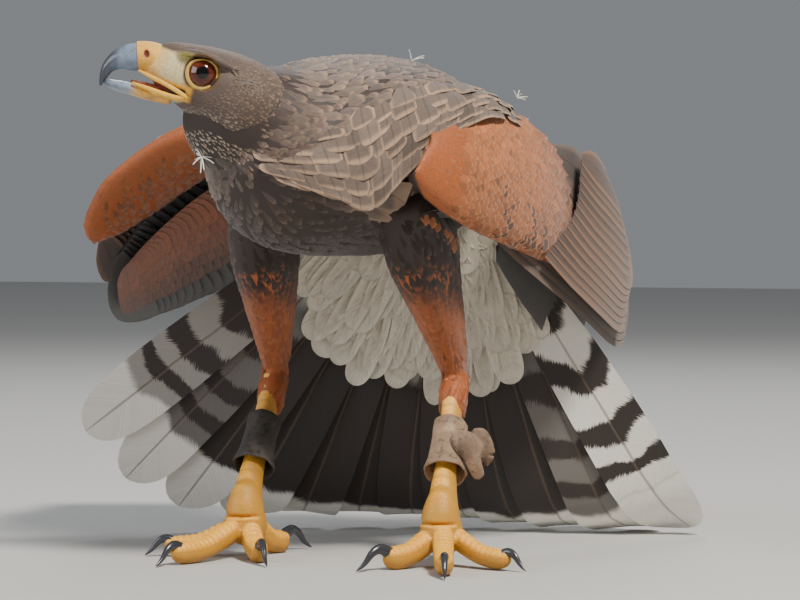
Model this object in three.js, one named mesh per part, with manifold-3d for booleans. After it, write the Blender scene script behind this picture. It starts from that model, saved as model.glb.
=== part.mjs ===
// A harris hawk, life size, standing with a fanned tail, its head turned to its right.
// Millimetres, +Z up. The bird faces -Y and its left side is +X. The feet stand on z = 0.
import * as THREE from "three";
import { mergeVertices } from "three/addons/utils/BufferGeometryUtils.js";
import Module from "manifold-3d";

const wasm = await Module();
wasm.setup();

// Driving dimensions
const GAP = 0.3; // clear space between two named parts
const FINE = 0.05; // the largest step that a solid's surface may be evened out by
const STEP = 0.01; // the grid that every corner of a solid is put on
const BAR = 0.6; // thickness of a flight or tail vane
const LAYER = 0.92; // step from one vane of a stack to the next
const HEAD_AT = [-38, -65, 232]; // the point midway between the eyes
const HEAD_TURN = 65; // degrees the head is turned to the bird's right
const HEAD_LIFT = 17; // degrees the bill is raised
const EYE_RADIUS = 8.2;
const EYE_OUT = 12.8; // from the middle of the head to the eye's centre
const FEET = { left: [51, 6], right: [-52, 2] }; // where each foot's joint stands
const HEELS = { left: [36, 56, 90], right: [-62, 54, 90] };
const KNEES = { left: [36, 6, 168], right: [-43, 4, 168] };
const FOOT_TURN = { left: 25, right: -14 }; // degrees each middle toe points outwards
const FOOT_HEIGHT = 29; // of the joint between the tarsus and the toes
const TAIL_ROOT = [3, 118, 200]; // the point that the fan's feathers point back to
const TAIL_TURN = 19.8;
const TAIL_SLANT = 10;
const TAIL_ROLL = 10.8;
const TAIL_SPREAD = 41.6; // degrees from the middle of the fan to its edge
const TAIL_REACH = 243.5; // from TAIL_ROOT to a feather's tip
const TAIL_FLOOR = 10; // the height at which the tail's sheet is laid back on the floor
const TAIL_BEND = 6; // how softly it bends there

const rad = THREE.MathUtils.degToRad;
const vec = (p) => new THREE.Vector3(...p);
const mix = THREE.MathUtils.lerp;

// Materials
const finish = (color, roughness) =>
  new THREE.MeshStandardMaterial({ color, roughness, metalness: 0 });
const looks = {
  brown: finish(0x5b4a42, 0.85),
  rufous: finish(0x9a4c22, 0.85),
  tail: finish(0x2b2320, 0.8),
  bill: finish(0x6f7c8c, 0.35),
  cere: finish(0xe8c25a, 0.5),
  mouth: finish(0x7a3a30, 0.5),
  eye: finish(0x5a2a12, 0.1),
  leg: finish(0xe9a21e, 0.55),
  claw: finish(0x2c2f36, 0.3),
  leather: finish(0x4a423a, 0.75),
};

// Solids

function solidOf(geometry) {
  const bare = geometry.clone();
  bare.deleteAttribute("normal");
  bare.deleteAttribute("uv");
  const merged = mergeVertices(bare, 1e-3);
  const vertProperties = merged.attributes.position.array;
  const triVerts = new Uint32Array(merged.index.array);
  const made = () =>
    new wasm.Manifold(new wasm.Mesh({ numProp: 3, vertProperties, triVerts }));
  const first = made();
  if (first.volume() > 0) return first;
  for (let i = 0; i < triVerts.length; i += 3)
    [triVerts[i], triVerts[i + 1]] = [triVerts[i + 1], triVerts[i]];
  return made();
}

const join = (solids) => wasm.Manifold.union(solids);

// The largest closed surface of a solid, with whatever it seals inside filled.
function whole(solid) {
  const bodies = solid.decompose();
  return bodies.sort((a, b) => b.volume() - a.volume())[0];
}

// A closed form whose rings follow place(s, a): s runs from one pole, 0, to the other, 1, and a is the angle round.
function loft(around, along, place) {
  const ball = new THREE.SphereGeometry(1, around, along);
  const { position, uv } = ball.attributes;
  for (let i = 0; i < position.count; i++) {
    const s = 1 - uv.getY(i);
    const p = place(s, 2 * Math.PI * uv.getX(i));
    position.setXYZ(i, p.x, p.y, p.z);
  }
  return solidOf(ball);
}

// A loft through stations, each [x, y, z, half width, reach up, reach down].
function limb(stations, { side = [1, 0, 0], around = 20, along = 16, grow = 0, floor = null }) {
  const path = new THREE.CatmullRomCurve3(stations.map((p) => vec(p.slice(0, 3))));
  const size = new THREE.CatmullRomCurve3(stations.map((p) => vec(p.slice(3, 6))));
  return loft(around, along, (s, a) => {
    const end = s < 1e-6 || s > 1 - 1e-6;
    const u = (1 - Math.cos(Math.PI * s)) / 2;
    const tangent = path.getTangent(u);
    const middle = path.getPoint(u).addScaledVector(tangent, -grow * Math.cos(Math.PI * s));
    if (floor !== null) middle.z = Math.max(middle.z, floor);
    if (end) return middle;
    const across = vec(side).addScaledVector(tangent, -vec(side).dot(tangent)).normalize();
    const up = new THREE.Vector3().crossVectors(across, tangent);
    if (up.z < 0) up.negate();
    const [w, over, under] = size.getPoint(u).toArray().map((r) => Math.max(r, 0.2) + grow);
    const p = middle
      .addScaledVector(across, Math.cos(a) * w)
      .addScaledVector(up, Math.sin(a) * (Math.sin(a) > 0 ? over : under));
    if (floor !== null) p.z = Math.max(p.z, floor);
    return p;
  });
}

// A thin plate with the same triangles on both faces. place(u, v, side): u from -1 to 1 across, v from 0 to 1 along.
function plate(columns, rows, place) {
  const points = [];
  const faces = [];
  const at = (i, j, k) => (j * (columns + 1) + i) * 2 + k;
  const quad = (a, b, c, d) => faces.push(a, b, c, a, c, d);
  for (let j = 0; j <= rows; j++)
    for (let i = 0; i <= columns; i++)
      for (const side of [1, -1])
        points.push(...place((2 * i) / columns - 1, j / rows, side).toArray());
  for (let j = 0; j < rows; j++) {
    for (let i = 0; i < columns; i++) {
      quad(at(i, j, 0), at(i + 1, j, 0), at(i + 1, j + 1, 0), at(i, j + 1, 0));
      faces.push(at(i, j, 1), at(i + 1, j + 1, 1), at(i + 1, j, 1));
      faces.push(at(i, j, 1), at(i, j + 1, 1), at(i + 1, j + 1, 1));
    }
    quad(at(0, j, 0), at(0, j + 1, 0), at(0, j + 1, 1), at(0, j, 1));
    quad(at(columns, j, 1), at(columns, j + 1, 1), at(columns, j + 1, 0), at(columns, j, 0));
  }
  for (let i = 0; i < columns; i++) {
    quad(at(i, 0, 1), at(i + 1, 0, 1), at(i + 1, 0, 0), at(i, 0, 0));
    quad(at(i, rows, 0), at(i + 1, rows, 0), at(i + 1, rows, 1), at(i, rows, 1));
  }
  const geometry = new THREE.BufferGeometry();
  geometry.setAttribute("position", new THREE.Float32BufferAttribute(points, 3));
  geometry.setIndex(faces);
  return solidOf(geometry);
}

// A curved sheet through lines of points, the first at the feathers' roots and the last at their tips.
// t runs from 0 to 1 along each line and d from root to tip. It returns the point and the normal.
function sheet(lines, outside) {
  const curves = lines.map((points) => new THREE.CatmullRomCurve3(points.map(vec)));
  const reached = (curve, t) => {
    const held = THREE.MathUtils.clamp(t, 0, 1);
    const slope = curve.getPoint(Math.min(1, held + 0.01)).sub(curve.getPoint(Math.max(0, held - 0.01)));
    const run = Math.min(1, held + 0.01) - Math.max(0, held - 0.01);
    return curve.getPoint(held).addScaledVector(slope, (t - held) / run);
  };
  const point = (t, d) =>
    new THREE.CatmullRomCurve3(curves.map((curve) => reached(curve, t))).getPoint(d);
  return (t, d) => {
    const across = point(t + 0.01, d).sub(point(t - 0.01, d)).divideScalar(0.02);
    const low = Math.max(0, d - 0.02);
    const high = Math.min(1, d + 0.02);
    const down = point(t, high).sub(point(t, low));
    const normal = new THREE.Vector3().crossVectors(across, down).normalize();
    if (normal.dot(vec(outside)) < 0) normal.negate();
    return { point: point(t, d), normal, width: across.length() };
  };
}

// A feather's outline: shares of its length from root to tip, and its width there as a share of the full width.
const OUTLINE = [
  [0, 0.28],
  [0.34, 0.92],
  [0.72, 1],
  [0.93, 0.82],
  [1, 0.3],
];

// One feather of a sheet at t, from one share of the sheet to another, level layers above it.
function vane(surface, { t, from = 0, to = 1, width, level = 0, lean = 0, thick = BAR, grow = 0 }) {
  const rows = OUTLINE.length - 1;
  return plate(2, rows, (u, v, side) => {
    const [share, wide] = OUTLINE[Math.round(v * rows)];
    const d = mix(from, to, share);
    const reach = (wide * width) / 2 + grow;
    const shift = (u * reach) / surface(t, d).width;
    const { point, normal } = surface(t + shift + lean * share, d);
    return point.addScaledVector(normal, level * LAYER + side * (thick / 2 + grow));
  });
}

// Head

const headForward = vec([
  -Math.sin(rad(HEAD_TURN)) * Math.cos(rad(HEAD_LIFT)),
  -Math.cos(rad(HEAD_TURN)) * Math.cos(rad(HEAD_LIFT)),
  Math.sin(rad(HEAD_LIFT)),
]);
const headLeft = vec([Math.cos(rad(HEAD_TURN)), -Math.sin(rad(HEAD_TURN)), 0]);
const headUp = new THREE.Vector3().crossVectors(headForward, headLeft);
const headFrame = new THREE.Matrix4()
  .makeBasis(headForward, headLeft, headUp)
  .setPosition(...HEAD_AT);
const placed = (solid) => solid.transform(headFrame.toArray());

// In the head's own frame x runs forwards, y to its left and z up.
const SKULL = [
  [31, 0, -3, 2, 2, 2],
  [27, 0, -3, 8, 9.5, 5],
  [20, 0, -3, 12, 14, 10.5],
  [10, 0, -3, 17, 16, 15],
  [0, 0, -3, 19.8, 17.5, 19],
  [-12, 0, -4, 22.5, 19, 23],
  [-24, 0, -6, 24, 19, 26],
  [-36, 0, -9, 20, 16, 22],
  [-44, 0, -11, 2, 2, 2],
];
const BILL = [
  [22, 0, 0.5, 6, 6, 6],
  [27, 0, 0.2, 8, 6.8, 7],
  [31, 0, -0.8, 7.6, 6.8, 6.6],
  [35.7, 0, -2.7, 6.6, 6.6, 6.4],
  [40.5, 0, -5.3, 5, 5.2, 4.8],
  [43.9, 0, -9.3, 3.4, 3.3, 3.1],
  [45, 0, -14, 2, 2.1, 1.9],
  [45.4, 0, -19, 0.5, 0.5, 0.5],
];
const LOWER_BILL = [
  [16, 0, -15.5, 5, 2, 2.5],
  [24, 0, -15.6, 7, 2.7, 3],
  [31, 0, -15.2, 5.8, 2.8, 2.8],
  [38, 0, -15.8, 4.4, 2, 2.3],
  [43, 0, -15.6, 2.2, 1, 1],
  [44, 0, -15.5, 0.4, 0.4, 0.4],
];
const MOUTH = [
  [60, -9.3],
  [32, -8.9],
  [21, -9.3],
  [4.8, -12.4],
  [4.8, -12.8],
  [21, -13],
  [32, -12.6],
  [60, -14],
];

const skull = (grow) => limb(SKULL, { side: [0, 1, 0], around: 22, along: 16, grow });
const bill = (grow) => limb(BILL, { side: [0, 1, 0], around: 16, along: 14, grow });
const lowerBill = (grow) => limb(LOWER_BILL, { side: [0, 1, 0], around: 12, along: 8, grow });
const eyeball = (sign, grow) =>
  solidOf(
    new THREE.SphereGeometry(EYE_RADIUS + grow, 16, 10).translate(0, sign * EYE_OUT, 0),
  );

// The gap between the jaws, from the corners of the mouth forwards.
function mouthGap() {
  const shape = new THREE.Shape(MOUTH.map(([x, z]) => new THREE.Vector2(x, z)));
  const slab = new THREE.ExtrudeGeometry(shape, { depth: 80, bevelEnabled: false });
  return solidOf(slab.rotateX(Math.PI / 2).translate(0, 40, 0));
}

// The ridge over each eye and the ring of its lids.
function brow(sign) {
  const stations = [
    [14, sign * 10, 6.5, 1, 1, 1],
    [8, sign * 15.5, 8, 3.5, 2.5, 2],
    [0, sign * 18.5, 8.6, 3.6, 2.6, 1.6],
    [-8, sign * 19, 8, 3.4, 2.4, 2],
    [-15, sign * 18, 6, 1, 1, 1],
  ];
  return limb(stations, { side: [0, 1, 0], around: 10, along: 8 });
}
function lids(sign) {
  const ring = new THREE.TorusGeometry(7, 1.5, 5, 16).rotateX(Math.PI / 2);
  return solidOf(ring.translate(0.2, sign * 18.2, -0.2));
}

const CERE_END = { normal: [0.924, 0, -0.382], offset: 28.9 }; // the plane where the horn starts
const hornPlane = (shift) => [CERE_END.normal, CERE_END.offset + shift];

function headParts() {
  const mouth = mouthGap();
  const eyes = { left: eyeball(1, 0), right: eyeball(-1, 0) };
  const horn = bill(0).trimByPlane(...hornPlane(GAP / 2));
  const cere = bill(0.5)
    .trimByPlane([-CERE_END.normal[0], 0, -CERE_END.normal[2]], GAP / 2 - CERE_END.offset)
    .subtract(skull(GAP))
    .subtract(
      join(
        [1, -1].map((sign) =>
          solidOf(new THREE.SphereGeometry(1.5, 10, 8).translate(29, sign * 8, 1.4)),
        ),
      ),
    );
  const jaw = lowerBill(0)
    .subtract(join([skull(GAP), mouth, bill(GAP), tongueBox(GAP)]));
  return { horn, cere, jaw, eyes, mouth };
}

// The tongue, sunk a little into the lower jaw.
function tongueBox(grow) {
  const [long, wide, tall] = [15, 6.4, 2.4].map((side) => side + 2 * grow);
  return solidOf(new THREE.BoxGeometry(long, wide, tall).translate(24.5, 0, -12.3));
}

// Body

const TORSO = [
  [-15, -76, 184, 3, 3, 3],
  [-14, -66, 186, 27, 26, 26],
  [-12, -44, 189, 44, 44, 42],
  [-8, -8, 192, 55, 52, 48],
  [-4, 36, 192, 58, 52, 48],
  [0, 78, 190, 50, 44, 43],
  [3, 108, 188, 34, 28, 30],
  [4, 134, 186, 16, 13, 14],
  [4, 142, 185, 2, 2, 2],
];
const NECK = [
  [-42, -68, 232, 2, 2, 2],
  [-38, -65, 228, 18, 16, 17],
  [-31, -57, 217, 29, 29, 27],
  [-21, -42, 206, 38, 37, 36],
  [-13, -18, 198, 47, 46, 44],
  [-9, 10, 195, 40, 40, 36],
  [-8, 22, 194, 3, 3, 3],
];
const MANTLE = [
  [-14, -36, 212, 4, 3, 3],
  [-11, -26, 212, 46, 24, 10],
  [-7, 0, 212, 62, 34, 14],
  [-4, 32, 212, 64, 36, 14],
  [0, 66, 210, 54, 32, 12],
  [2, 92, 206, 30, 20, 10],
  [3, 104, 204, 3, 3, 3],
];
const torso = (grow) =>
  join([
    limb(TORSO, { around: 24, along: 16, grow }),
    limb(MANTLE, { around: 22, along: 12, grow }),
  ]);
const neck = (grow) => limb(NECK, { around: 24, along: 14, grow });

// Legs

function thigh(side, grow) {
  const [kx, ky, kz] = KNEES[side];
  const [hx, hy, hz] = HEELS[side];
  const at = (t, w, over, under) => [
    mix(kx, hx, t),
    mix(ky, hy, t),
    mix(kz, hz, t),
    w,
    over,
    under,
  ];
  const stations = [
    at(-0.25, 3, 3, 3),
    at(-0.15, 17, 24, 26),
    at(0.15, 18, 26, 28),
    at(0.45, 15, 20, 22),
    at(0.75, 11.5, 14, 15),
    at(1, 8.5, 9, 12),
    [mix(hx, FEET[side][0], 0.24), hy - 12, hz - 17, 7, 7, 8],
    [mix(hx, FEET[side][0], 0.34), hy - 17, hz - 24, 1.5, 1.5, 1.5],
  ];
  return limb(stations, { around: 18, along: 16, grow });
}

function tarsus(side, grow) {
  const [hx, hy, hz] = HEELS[side];
  const [fx, fy] = FEET[side];
  const at = (t, w, over, under) => [
    mix(hx, fx, t),
    mix(hy, fy, t),
    mix(hz, FOOT_HEIGHT, t),
    w,
    over,
    under,
  ];
  const stations = [
    at(0, 2, 2, 2),
    at(0.08, 6, 6.5, 6.5),
    at(0.3, 5.2, 6, 6),
    at(0.7, 5.2, 6.2, 6.2),
    at(0.9, 7, 7, 7.5),
    [fx, fy, FOOT_HEIGHT - 5, 9.5, 9, 9],
    [fx, fy + 1, FOOT_HEIGHT - 14, 12.2, 12, 12],
    [fx, fy + 1, FOOT_HEIGHT - 22, 8, 8, 8],
    [fx, fy + 1, FOOT_HEIGHT - 24, 2, 2, 2],
  ];
  return limb(stations, { around: 14, along: 14, grow });
}

// The plane where the feathers of the leg end and the bare tarsus starts.
const CUFF = 0.27; // how far down the tarsus that is
function cuffPlane(side, towards, gap) {
  const heel = vec(HEELS[side]);
  const down = vec([...FEET[side], FOOT_HEIGHT]).sub(heel);
  const at = heel.clone().addScaledVector(down, CUFF);
  const normal = down.normalize().multiplyScalar(towards);
  return [normal.toArray(), normal.dot(at) + gap];
}
const bareTarsus = (side) => tarsus(side, 0).trimByPlane(...cuffPlane(side, 1, GAP / 2));
const featheredLeg = (side, grow) =>
  thigh(side, grow).trimByPlane(...cuffPlane(side, -1, GAP / 2 - grow));

// Each toe: its turn from the middle toe in degrees, its reach, its thickness and its claw's length.
const TOES = {
  inner: { turn: -52, reach: 33, thick: 4.9, claw: 23 },
  middle: { turn: 0, reach: 50, thick: 4.7, claw: 20 },
  outer: { turn: 50, reach: 38, thick: 4.2, claw: 16 },
  hind: { turn: 180, reach: 27, thick: 5, claw: 25 },
};

function toeDirection(side, toe) {
  const out = side === "left" ? 1 : -1;
  const angle = rad(FOOT_TURN[side] + out * TOES[toe].turn);
  return vec([Math.sin(angle), -Math.cos(angle), 0]);
}

function toePoint(side, toe, distance, z) {
  const [fx, fy] = FEET[side];
  return vec([fx, fy + 1, z]).addScaledVector(toeDirection(side, toe), distance);
}

function toeBody(side, toe, grow) {
  const { reach, thick } = TOES[toe];
  const step = (share, z, w, h) => [
    ...toePoint(side, toe, reach * share, z).toArray(),
    w * thick,
    h * thick,
    h * thick,
  ];
  const across = new THREE.Vector3(0, 0, 1).cross(toeDirection(side, toe));
  const stations = [
    step(0, 17, 0.4, 0.4),
    step(0.08, 16, 1, 1.1),
    step(0.35, 10.5, 1.08, 1.1),
    step(0.6, 6.4, 1, 1.05),
    step(0.85, 5, 0.98, 1.1),
    step(1.04, 5.2, 0.72, 0.8),
    step(1.1, 5.2, 0.2, 0.2),
  ];
  return limb(stations, { side: across.toArray(), around: 10, along: 12, grow, floor: -grow });
}

// The part of a solid further out along a toe than a distance, or nearer than it.
const beyond = (solid, side, toe, distance) => {
  const dir = toeDirection(side, toe);
  return solid.trimByPlane(dir.toArray(), dir.dot(toePoint(side, toe, distance, 0)));
};
const within = (solid, side, toe, distance) => {
  const dir = toeDirection(side, toe).negate();
  return solid.trimByPlane(dir.toArray(), dir.dot(toePoint(side, toe, distance, 0)));
};

function claw(side, toe) {
  const { reach, thick, claw: long } = TOES[toe];
  const dir = toeDirection(side, toe);
  const across = new THREE.Vector3(0, 0, 1).cross(dir).toArray();
  const step = (share) => {
    const rise = long * 0.2 * Math.sin(Math.PI * Math.min(1, share * 1.25)) - 5.6 * share ** 2;
    const r = thick * 0.62 * (1 - share) ** 0.8 + 0.35;
    const p = toePoint(side, toe, reach * 0.93 + 0.92 * long * share, 6.4 + rise);
    return [...p.toArray(), r * 0.85, r, r];
  };
  const stations = [0, 0.15, 0.4, 0.65, 0.85, 1].map(step);
  return limb(stations, { side: across, around: 7, along: 7, floor: 0 });
}

const TOE_START = 12.9; // from the foot's joint to where each toe's own solid starts

function anklet(side) {
  const [hx, hy, hz] = HEELS[side];
  const [fx, fy] = FEET[side];
  const at = (t, r) => [mix(hx, fx, t), mix(hy, fy, t), mix(hz, FOOT_HEIGHT, t), r, r * 1.08, r * 1.08];
  const tube = limb([at(0.4, 1), at(0.42, 8), at(0.6, 8.2), at(0.76, 10), at(0.78, 1)], {
    around: 14,
    along: 9,
  });
  return tube.subtract(tarsus(side, GAP)).subtract(featheredLeg(side, GAP));
}

// Tail

const turned = (x, y, z) => {
  const c = Math.cos(rad(TAIL_TURN));
  const s = Math.sin(rad(TAIL_TURN));
  return vec([x * c - y * s, x * s + y * c, z]);
};
const tailDown = turned(
  -Math.sin(rad(TAIL_ROLL)),
  Math.sin(rad(TAIL_SLANT)) * Math.cos(rad(TAIL_ROLL)),
  -Math.cos(rad(TAIL_SLANT)) * Math.cos(rad(TAIL_ROLL)),
);
const tailAcross = turned(
  Math.cos(rad(TAIL_ROLL)),
  Math.sin(rad(TAIL_SLANT)) * Math.sin(rad(TAIL_ROLL)),
  -Math.cos(rad(TAIL_SLANT)) * Math.sin(rad(TAIL_ROLL)),
);

// The place at a distance from the fan's root, at an angle from its middle, laid back softly near the floor.
function tailPlace(angle, distance) {
  const p = vec(TAIL_ROOT)
    .addScaledVector(tailDown, distance * Math.cos(rad(angle)))
    .addScaledVector(tailAcross, distance * Math.sin(rad(angle)));
  const above = (p.z - TAIL_FLOOR) / TAIL_BEND;
  const laid = TAIL_FLOOR + TAIL_BEND * Math.log(1 + Math.exp(above));
  p.y += 0.85 * (laid - p.z);
  p.z = laid;
  return p;
}

function tailSheet() {
  const turns = Array.from({ length: 9 }, (_, i) => (1.1 * (i - 4)) / 4);
  const line = (share) =>
    turns.map((turn) => tailPlace(turn * TAIL_SPREAD, TAIL_REACH * share).toArray());
  return sheet([0.06, 0.4, 0.7, 0.85, 1].map(line), [0, 1, 0]);
}

// The tail: twelve vanes, the middle pair uppermost, with a tier of coverts under them.
const TAIL_BASE = [
  [3, 100, 198, 3, 3, 3],
  [3, 108, 190, 20, 16, 18],
  [0, 121, 168, 28, 12, 14],
  [-5, 129, 140, 38, 7, 8],
  [-9, 135, 118, 36, 4, 5],
  [-11, 139, 108, 4, 1, 1],
];
const turnShare = (share) => (share / 1.1 + 1) / 2; // from -1 to 1 across the fan to a sheet's t
function tailVanes(grow) {
  const fan = tailSheet();
  const made = [];
  for (let i = 0; i < 12; i++) {
    const share = (2 * i) / 11 - 1;
    const rank = Math.round((Math.abs(share) * 11 - 1) / 2);
    const level = -2 * rank - (share > 0 ? 1 : 0);
    made.push(vane(fan, { t: turnShare(share), from: 0.16, width: 40, level, grow }));
  }
  return made;
}
const tail = (grow) =>
  join([...tailVanes(grow), limb(TAIL_BASE, { around: 20, along: 12, grow })]);

// Wings

const WINGS = {
  left: {
    arm: [
      [38, -8, 208, 3, 3, 3],
      [47, -14, 200, 11, 18, 24],
      [61, 8, 190, 13, 34, 32],
      [69, 54, 180, 13, 42, 34],
      [70, 104, 166, 9, 38, 30],
      [67, 146, 152, 4, 26, 20],
      [65, 164, 145, 1, 3, 3],
    ],
    side: [1, 0, 0.2],
    outside: [1, 0, 0.2],
    rows: [
      {
        lines: [
          [[66, 10, 172], [70, 50, 184], [64, 92, 200]],
          [[82, 105, 134], [78, 125, 156], [68, 135, 186]],
          [[70, 212, 104], [68, 212, 128], [63, 188, 162]],
        ],
        count: 11,
        width: 30,
        level: -4,
        short: 0,
      },
      {
        lines: [
          [[76, 42, 150], [74, 46, 160], [70, 50, 170]],
          [[62, 140, 118], [64, 140, 130], [64, 140, 142]],
          [[30, 252, 88], [38, 250, 98], [46, 248, 108]],
        ],
        count: 10,
        width: 24,
        level: -12,
        short: 0.16,
      },
    ],
  },
  right: {
    arm: [
      [-34, 4, 214, 3, 3, 3],
      [-46, 4, 210, 12, 16, 16],
      [-84, 6, 198, 26, 9, 10],
      [-118, 8, 178, 26, 8, 9],
      [-137, 8, 160, 16, 6, 7],
      [-145, 10, 150, 2, 2, 2],
    ],
    side: [0, 1, -0.35],
    outside: [-0.4, 0, 0.9],
    rows: [
      {
        lines: [
          [[-142, 26, 150], [-128, 26, 162], [-100, 26, 182], [-62, 26, 202]],
          [[-176, 100, 128], [-158, 102, 137], [-118, 104, 156], [-68, 106, 172]],
          [[-205, 170, 112], [-178, 176, 118], [-136, 184, 130], [-80, 185, 140]],
        ],
        count: 21,
        width: 30,
        level: -12,
        short: 0,
      },
    ],
  },
};

// A row of flight feathers, each one a layer above the one outside it.
function flightRow({ lines, count, width, level, short }, outside, grow) {
  const surface = sheet(lines, outside);
  return Array.from({ length: count }, (_, i) => {
    const t = i / (count - 1);
    return vane(surface, { t, to: 1 - short * t, width, level: level + i, grow });
  });
}

const wingArm = (wing, grow) =>
  limb(wing.arm, { side: wing.side, around: 20, along: 12, grow });

function wingSolid(side, grow) {
  const wing = WINGS[side];
  const rows = wing.rows.flatMap((row) => flightRow(row, wing.outside, grow));
  return join([wingArm(wing, grow), ...rows]);
}

// The whole bird

const bird = new THREE.Group();
function geometryOf(solid) {
  const mesh = solid.getMesh();
  const n = mesh.numProp;
  const points = new Float32Array(mesh.numVert * 3);
  for (let i = 0; i < mesh.numVert; i++)
    points.set(mesh.vertProperties.subarray(i * n, i * n + 3), i * 3);
  points.forEach((value, i) => (points[i] = Math.round(value / STEP) * STEP));
  const geometry = new THREE.BufferGeometry();
  geometry.setAttribute("position", new THREE.BufferAttribute(points, 3));
  geometry.setIndex(new THREE.BufferAttribute(mesh.triVerts, 1));
  geometry.computeVertexNormals();
  return geometry;
}

function add(name, solid, material) {
  const fine = whole(whole(solid).simplify(FINE));
  const made = new THREE.Mesh(geometryOf(whole(solidOf(geometryOf(fine)))), material);
  made.name = name;
  bird.add(made);
}

// The planes that part the neck from the head and from the torso.
const NAPE = { normal: vec([-0.62, -0.5, 0.6]).normalize(), at: vec([-29, -57, 218]) };
const COLLAR = { normal: vec([-0.3, -0.72, 0.6]).normalize(), at: vec([-17, -34, 205]) };
const before = (solid, { normal, at }) =>
  solid.trimByPlane(normal.toArray(), normal.dot(at) + GAP / 2);
const behind = (solid, { normal, at }) =>
  solid.trimByPlane(normal.clone().negate().toArray(), GAP / 2 - normal.dot(at));

const face = headParts();
const headForm = placed(join([skull(0), brow(1), brow(-1), lids(1), lids(-1)]));
const headNeck = join([headForm, neck(0)]);
const headHollows = placed(
  join([
    eyeball(1, GAP),
    eyeball(-1, GAP),
    face.mouth,
    tongueBox(GAP),
    bill(GAP).trimByPlane(...hornPlane(-GAP / 2)),
  ]),
);
add("head", before(headNeck, NAPE).subtract(headHollows), looks.brown);
add("bill_upper", placed(face.horn), looks.bill);
add("cere", placed(face.cere).subtract(neck(GAP)), looks.cere);
add("bill_lower", placed(face.jaw), looks.bill);
add("eye_left", placed(face.eyes.left), looks.eye);
add("eye_right", placed(face.eyes.right), looks.eye);
add("tongue", placed(tongueBox(0)), looks.mouth);
add("neck", before(behind(headNeck, NAPE), COLLAR), looks.brown);

const torsoWhole = (grow) => join([torso(grow), neck(grow), placed(skull(grow))]);
const torsoSolid = behind(join([torso(0), neck(0)]), COLLAR).subtract(placed(skull(GAP)));
const torsoKeepOut = torsoWhole(GAP);
add("torso", torsoSolid, looks.brown);

for (const side of ["left", "right"]) {
  add(`thigh_${side}`, featheredLeg(side, 0).subtract(torsoKeepOut), looks.rufous);
  add(`foot_${side}`, bareTarsus(side), looks.leg);
  add(`anklet_${side}`, anklet(side), looks.leather);
  for (const toe of Object.keys(TOES)) {
    const { reach } = TOES[toe];
    const body = beyond(toeBody(side, toe, 0), side, toe, TOE_START + GAP);
    add(`toe_${side}_${toe}`, within(body, side, toe, reach), looks.leg);
    add(`claw_${side}_${toe}`, beyond(claw(side, toe), side, toe, reach + GAP), looks.claw);
  }
}

const tailSolid = tail(0).subtract(torsoKeepOut);
add("tail", tailSolid, looks.tail);
for (const side of ["left", "right"]) {
  const clear = [torsoKeepOut, featheredLeg(side, GAP), tail(GAP)];
  add(`wing_${side}`, wingSolid(side, 0).subtract(join(clear)), looks.rufous);
}

// The middle of the box in plan is at the origin.
const box = new THREE.Box3().setFromObject(bird);
const centre = box.getCenter(new THREE.Vector3());
bird.position.set(-Math.round(centre.x), -Math.round(centre.y), 0);

export default bird;
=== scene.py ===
import math
from collections import namedtuple

import bmesh
import bpy
import numpy as np
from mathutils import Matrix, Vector
from mathutils.bvhtree import BVHTree
from mathutils.kdtree import KDTree


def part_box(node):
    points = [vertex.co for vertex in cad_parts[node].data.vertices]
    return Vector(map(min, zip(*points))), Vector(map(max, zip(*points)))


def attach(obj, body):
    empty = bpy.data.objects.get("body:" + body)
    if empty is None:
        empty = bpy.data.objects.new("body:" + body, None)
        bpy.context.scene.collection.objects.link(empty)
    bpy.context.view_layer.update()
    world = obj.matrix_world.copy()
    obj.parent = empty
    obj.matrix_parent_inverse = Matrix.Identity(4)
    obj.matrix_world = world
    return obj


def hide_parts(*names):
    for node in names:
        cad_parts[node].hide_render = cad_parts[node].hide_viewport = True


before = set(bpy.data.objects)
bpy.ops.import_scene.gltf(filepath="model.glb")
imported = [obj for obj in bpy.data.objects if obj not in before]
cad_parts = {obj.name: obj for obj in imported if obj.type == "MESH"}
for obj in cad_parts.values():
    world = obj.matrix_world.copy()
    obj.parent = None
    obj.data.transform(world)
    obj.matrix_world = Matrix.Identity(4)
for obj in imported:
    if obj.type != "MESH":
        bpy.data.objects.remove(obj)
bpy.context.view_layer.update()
rng = np.random.default_rng(7)

# Sizes in millimetres, in the bird's own frame: it faces -Y, its left is +X, its feet stand on z = 0

MM = 0.001
HEAD_AT = np.array([-38.0, -65.0, 232.0])
HEAD_TURN = math.radians(65)
HEAD_LIFT = math.radians(17)
EYE_RADIUS = 8.2
EYE_OUT = 12.8
FOOT_HEIGHT = 29.0
FEET = {"left": (51, 6), "right": (-52, 2)}
HEELS = {"left": (36, 56, 90), "right": (-62, 54, 90)}
KNEES = {"left": (36, 6, 168), "right": (-43, 4, 168)}
FOOT_TURN = {"left": 25, "right": -14}
TAIL_ROOT = np.array([3.0, 118.0, 200.0])
TAIL_TURN, TAIL_SLANT, TAIL_ROLL = (math.radians(a) for a in (19.8, 10.0, 10.8))
TAIL_SPREAD = 41.6
TAIL_REACH = 243.5
TAIL_FLOOR = 10.0
TAIL_BEND = 6.0
TAIL_FEATHERS = 12
TAIL_SHEET_WIDER = 1.1
TAIL_COVERT_TIERS = 8

forward = np.array(
    [
        -math.sin(HEAD_TURN) * math.cos(HEAD_LIFT),
        -math.cos(HEAD_TURN) * math.cos(HEAD_LIFT),
        math.sin(HEAD_LIFT),
    ]
)
leftward = np.array([math.cos(HEAD_TURN), -math.sin(HEAD_TURN), 0.0])
upward = np.cross(forward, leftward)
HEAD_AXES = np.array([forward, leftward, upward])

low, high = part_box("eye_left")
SHIFT = (np.array(low) + np.array(high)) / 2 - (HEAD_AT + EYE_OUT * leftward) * MM


def from_head(points):
    return HEAD_AT + np.asarray(points, float) @ HEAD_AXES


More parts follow.
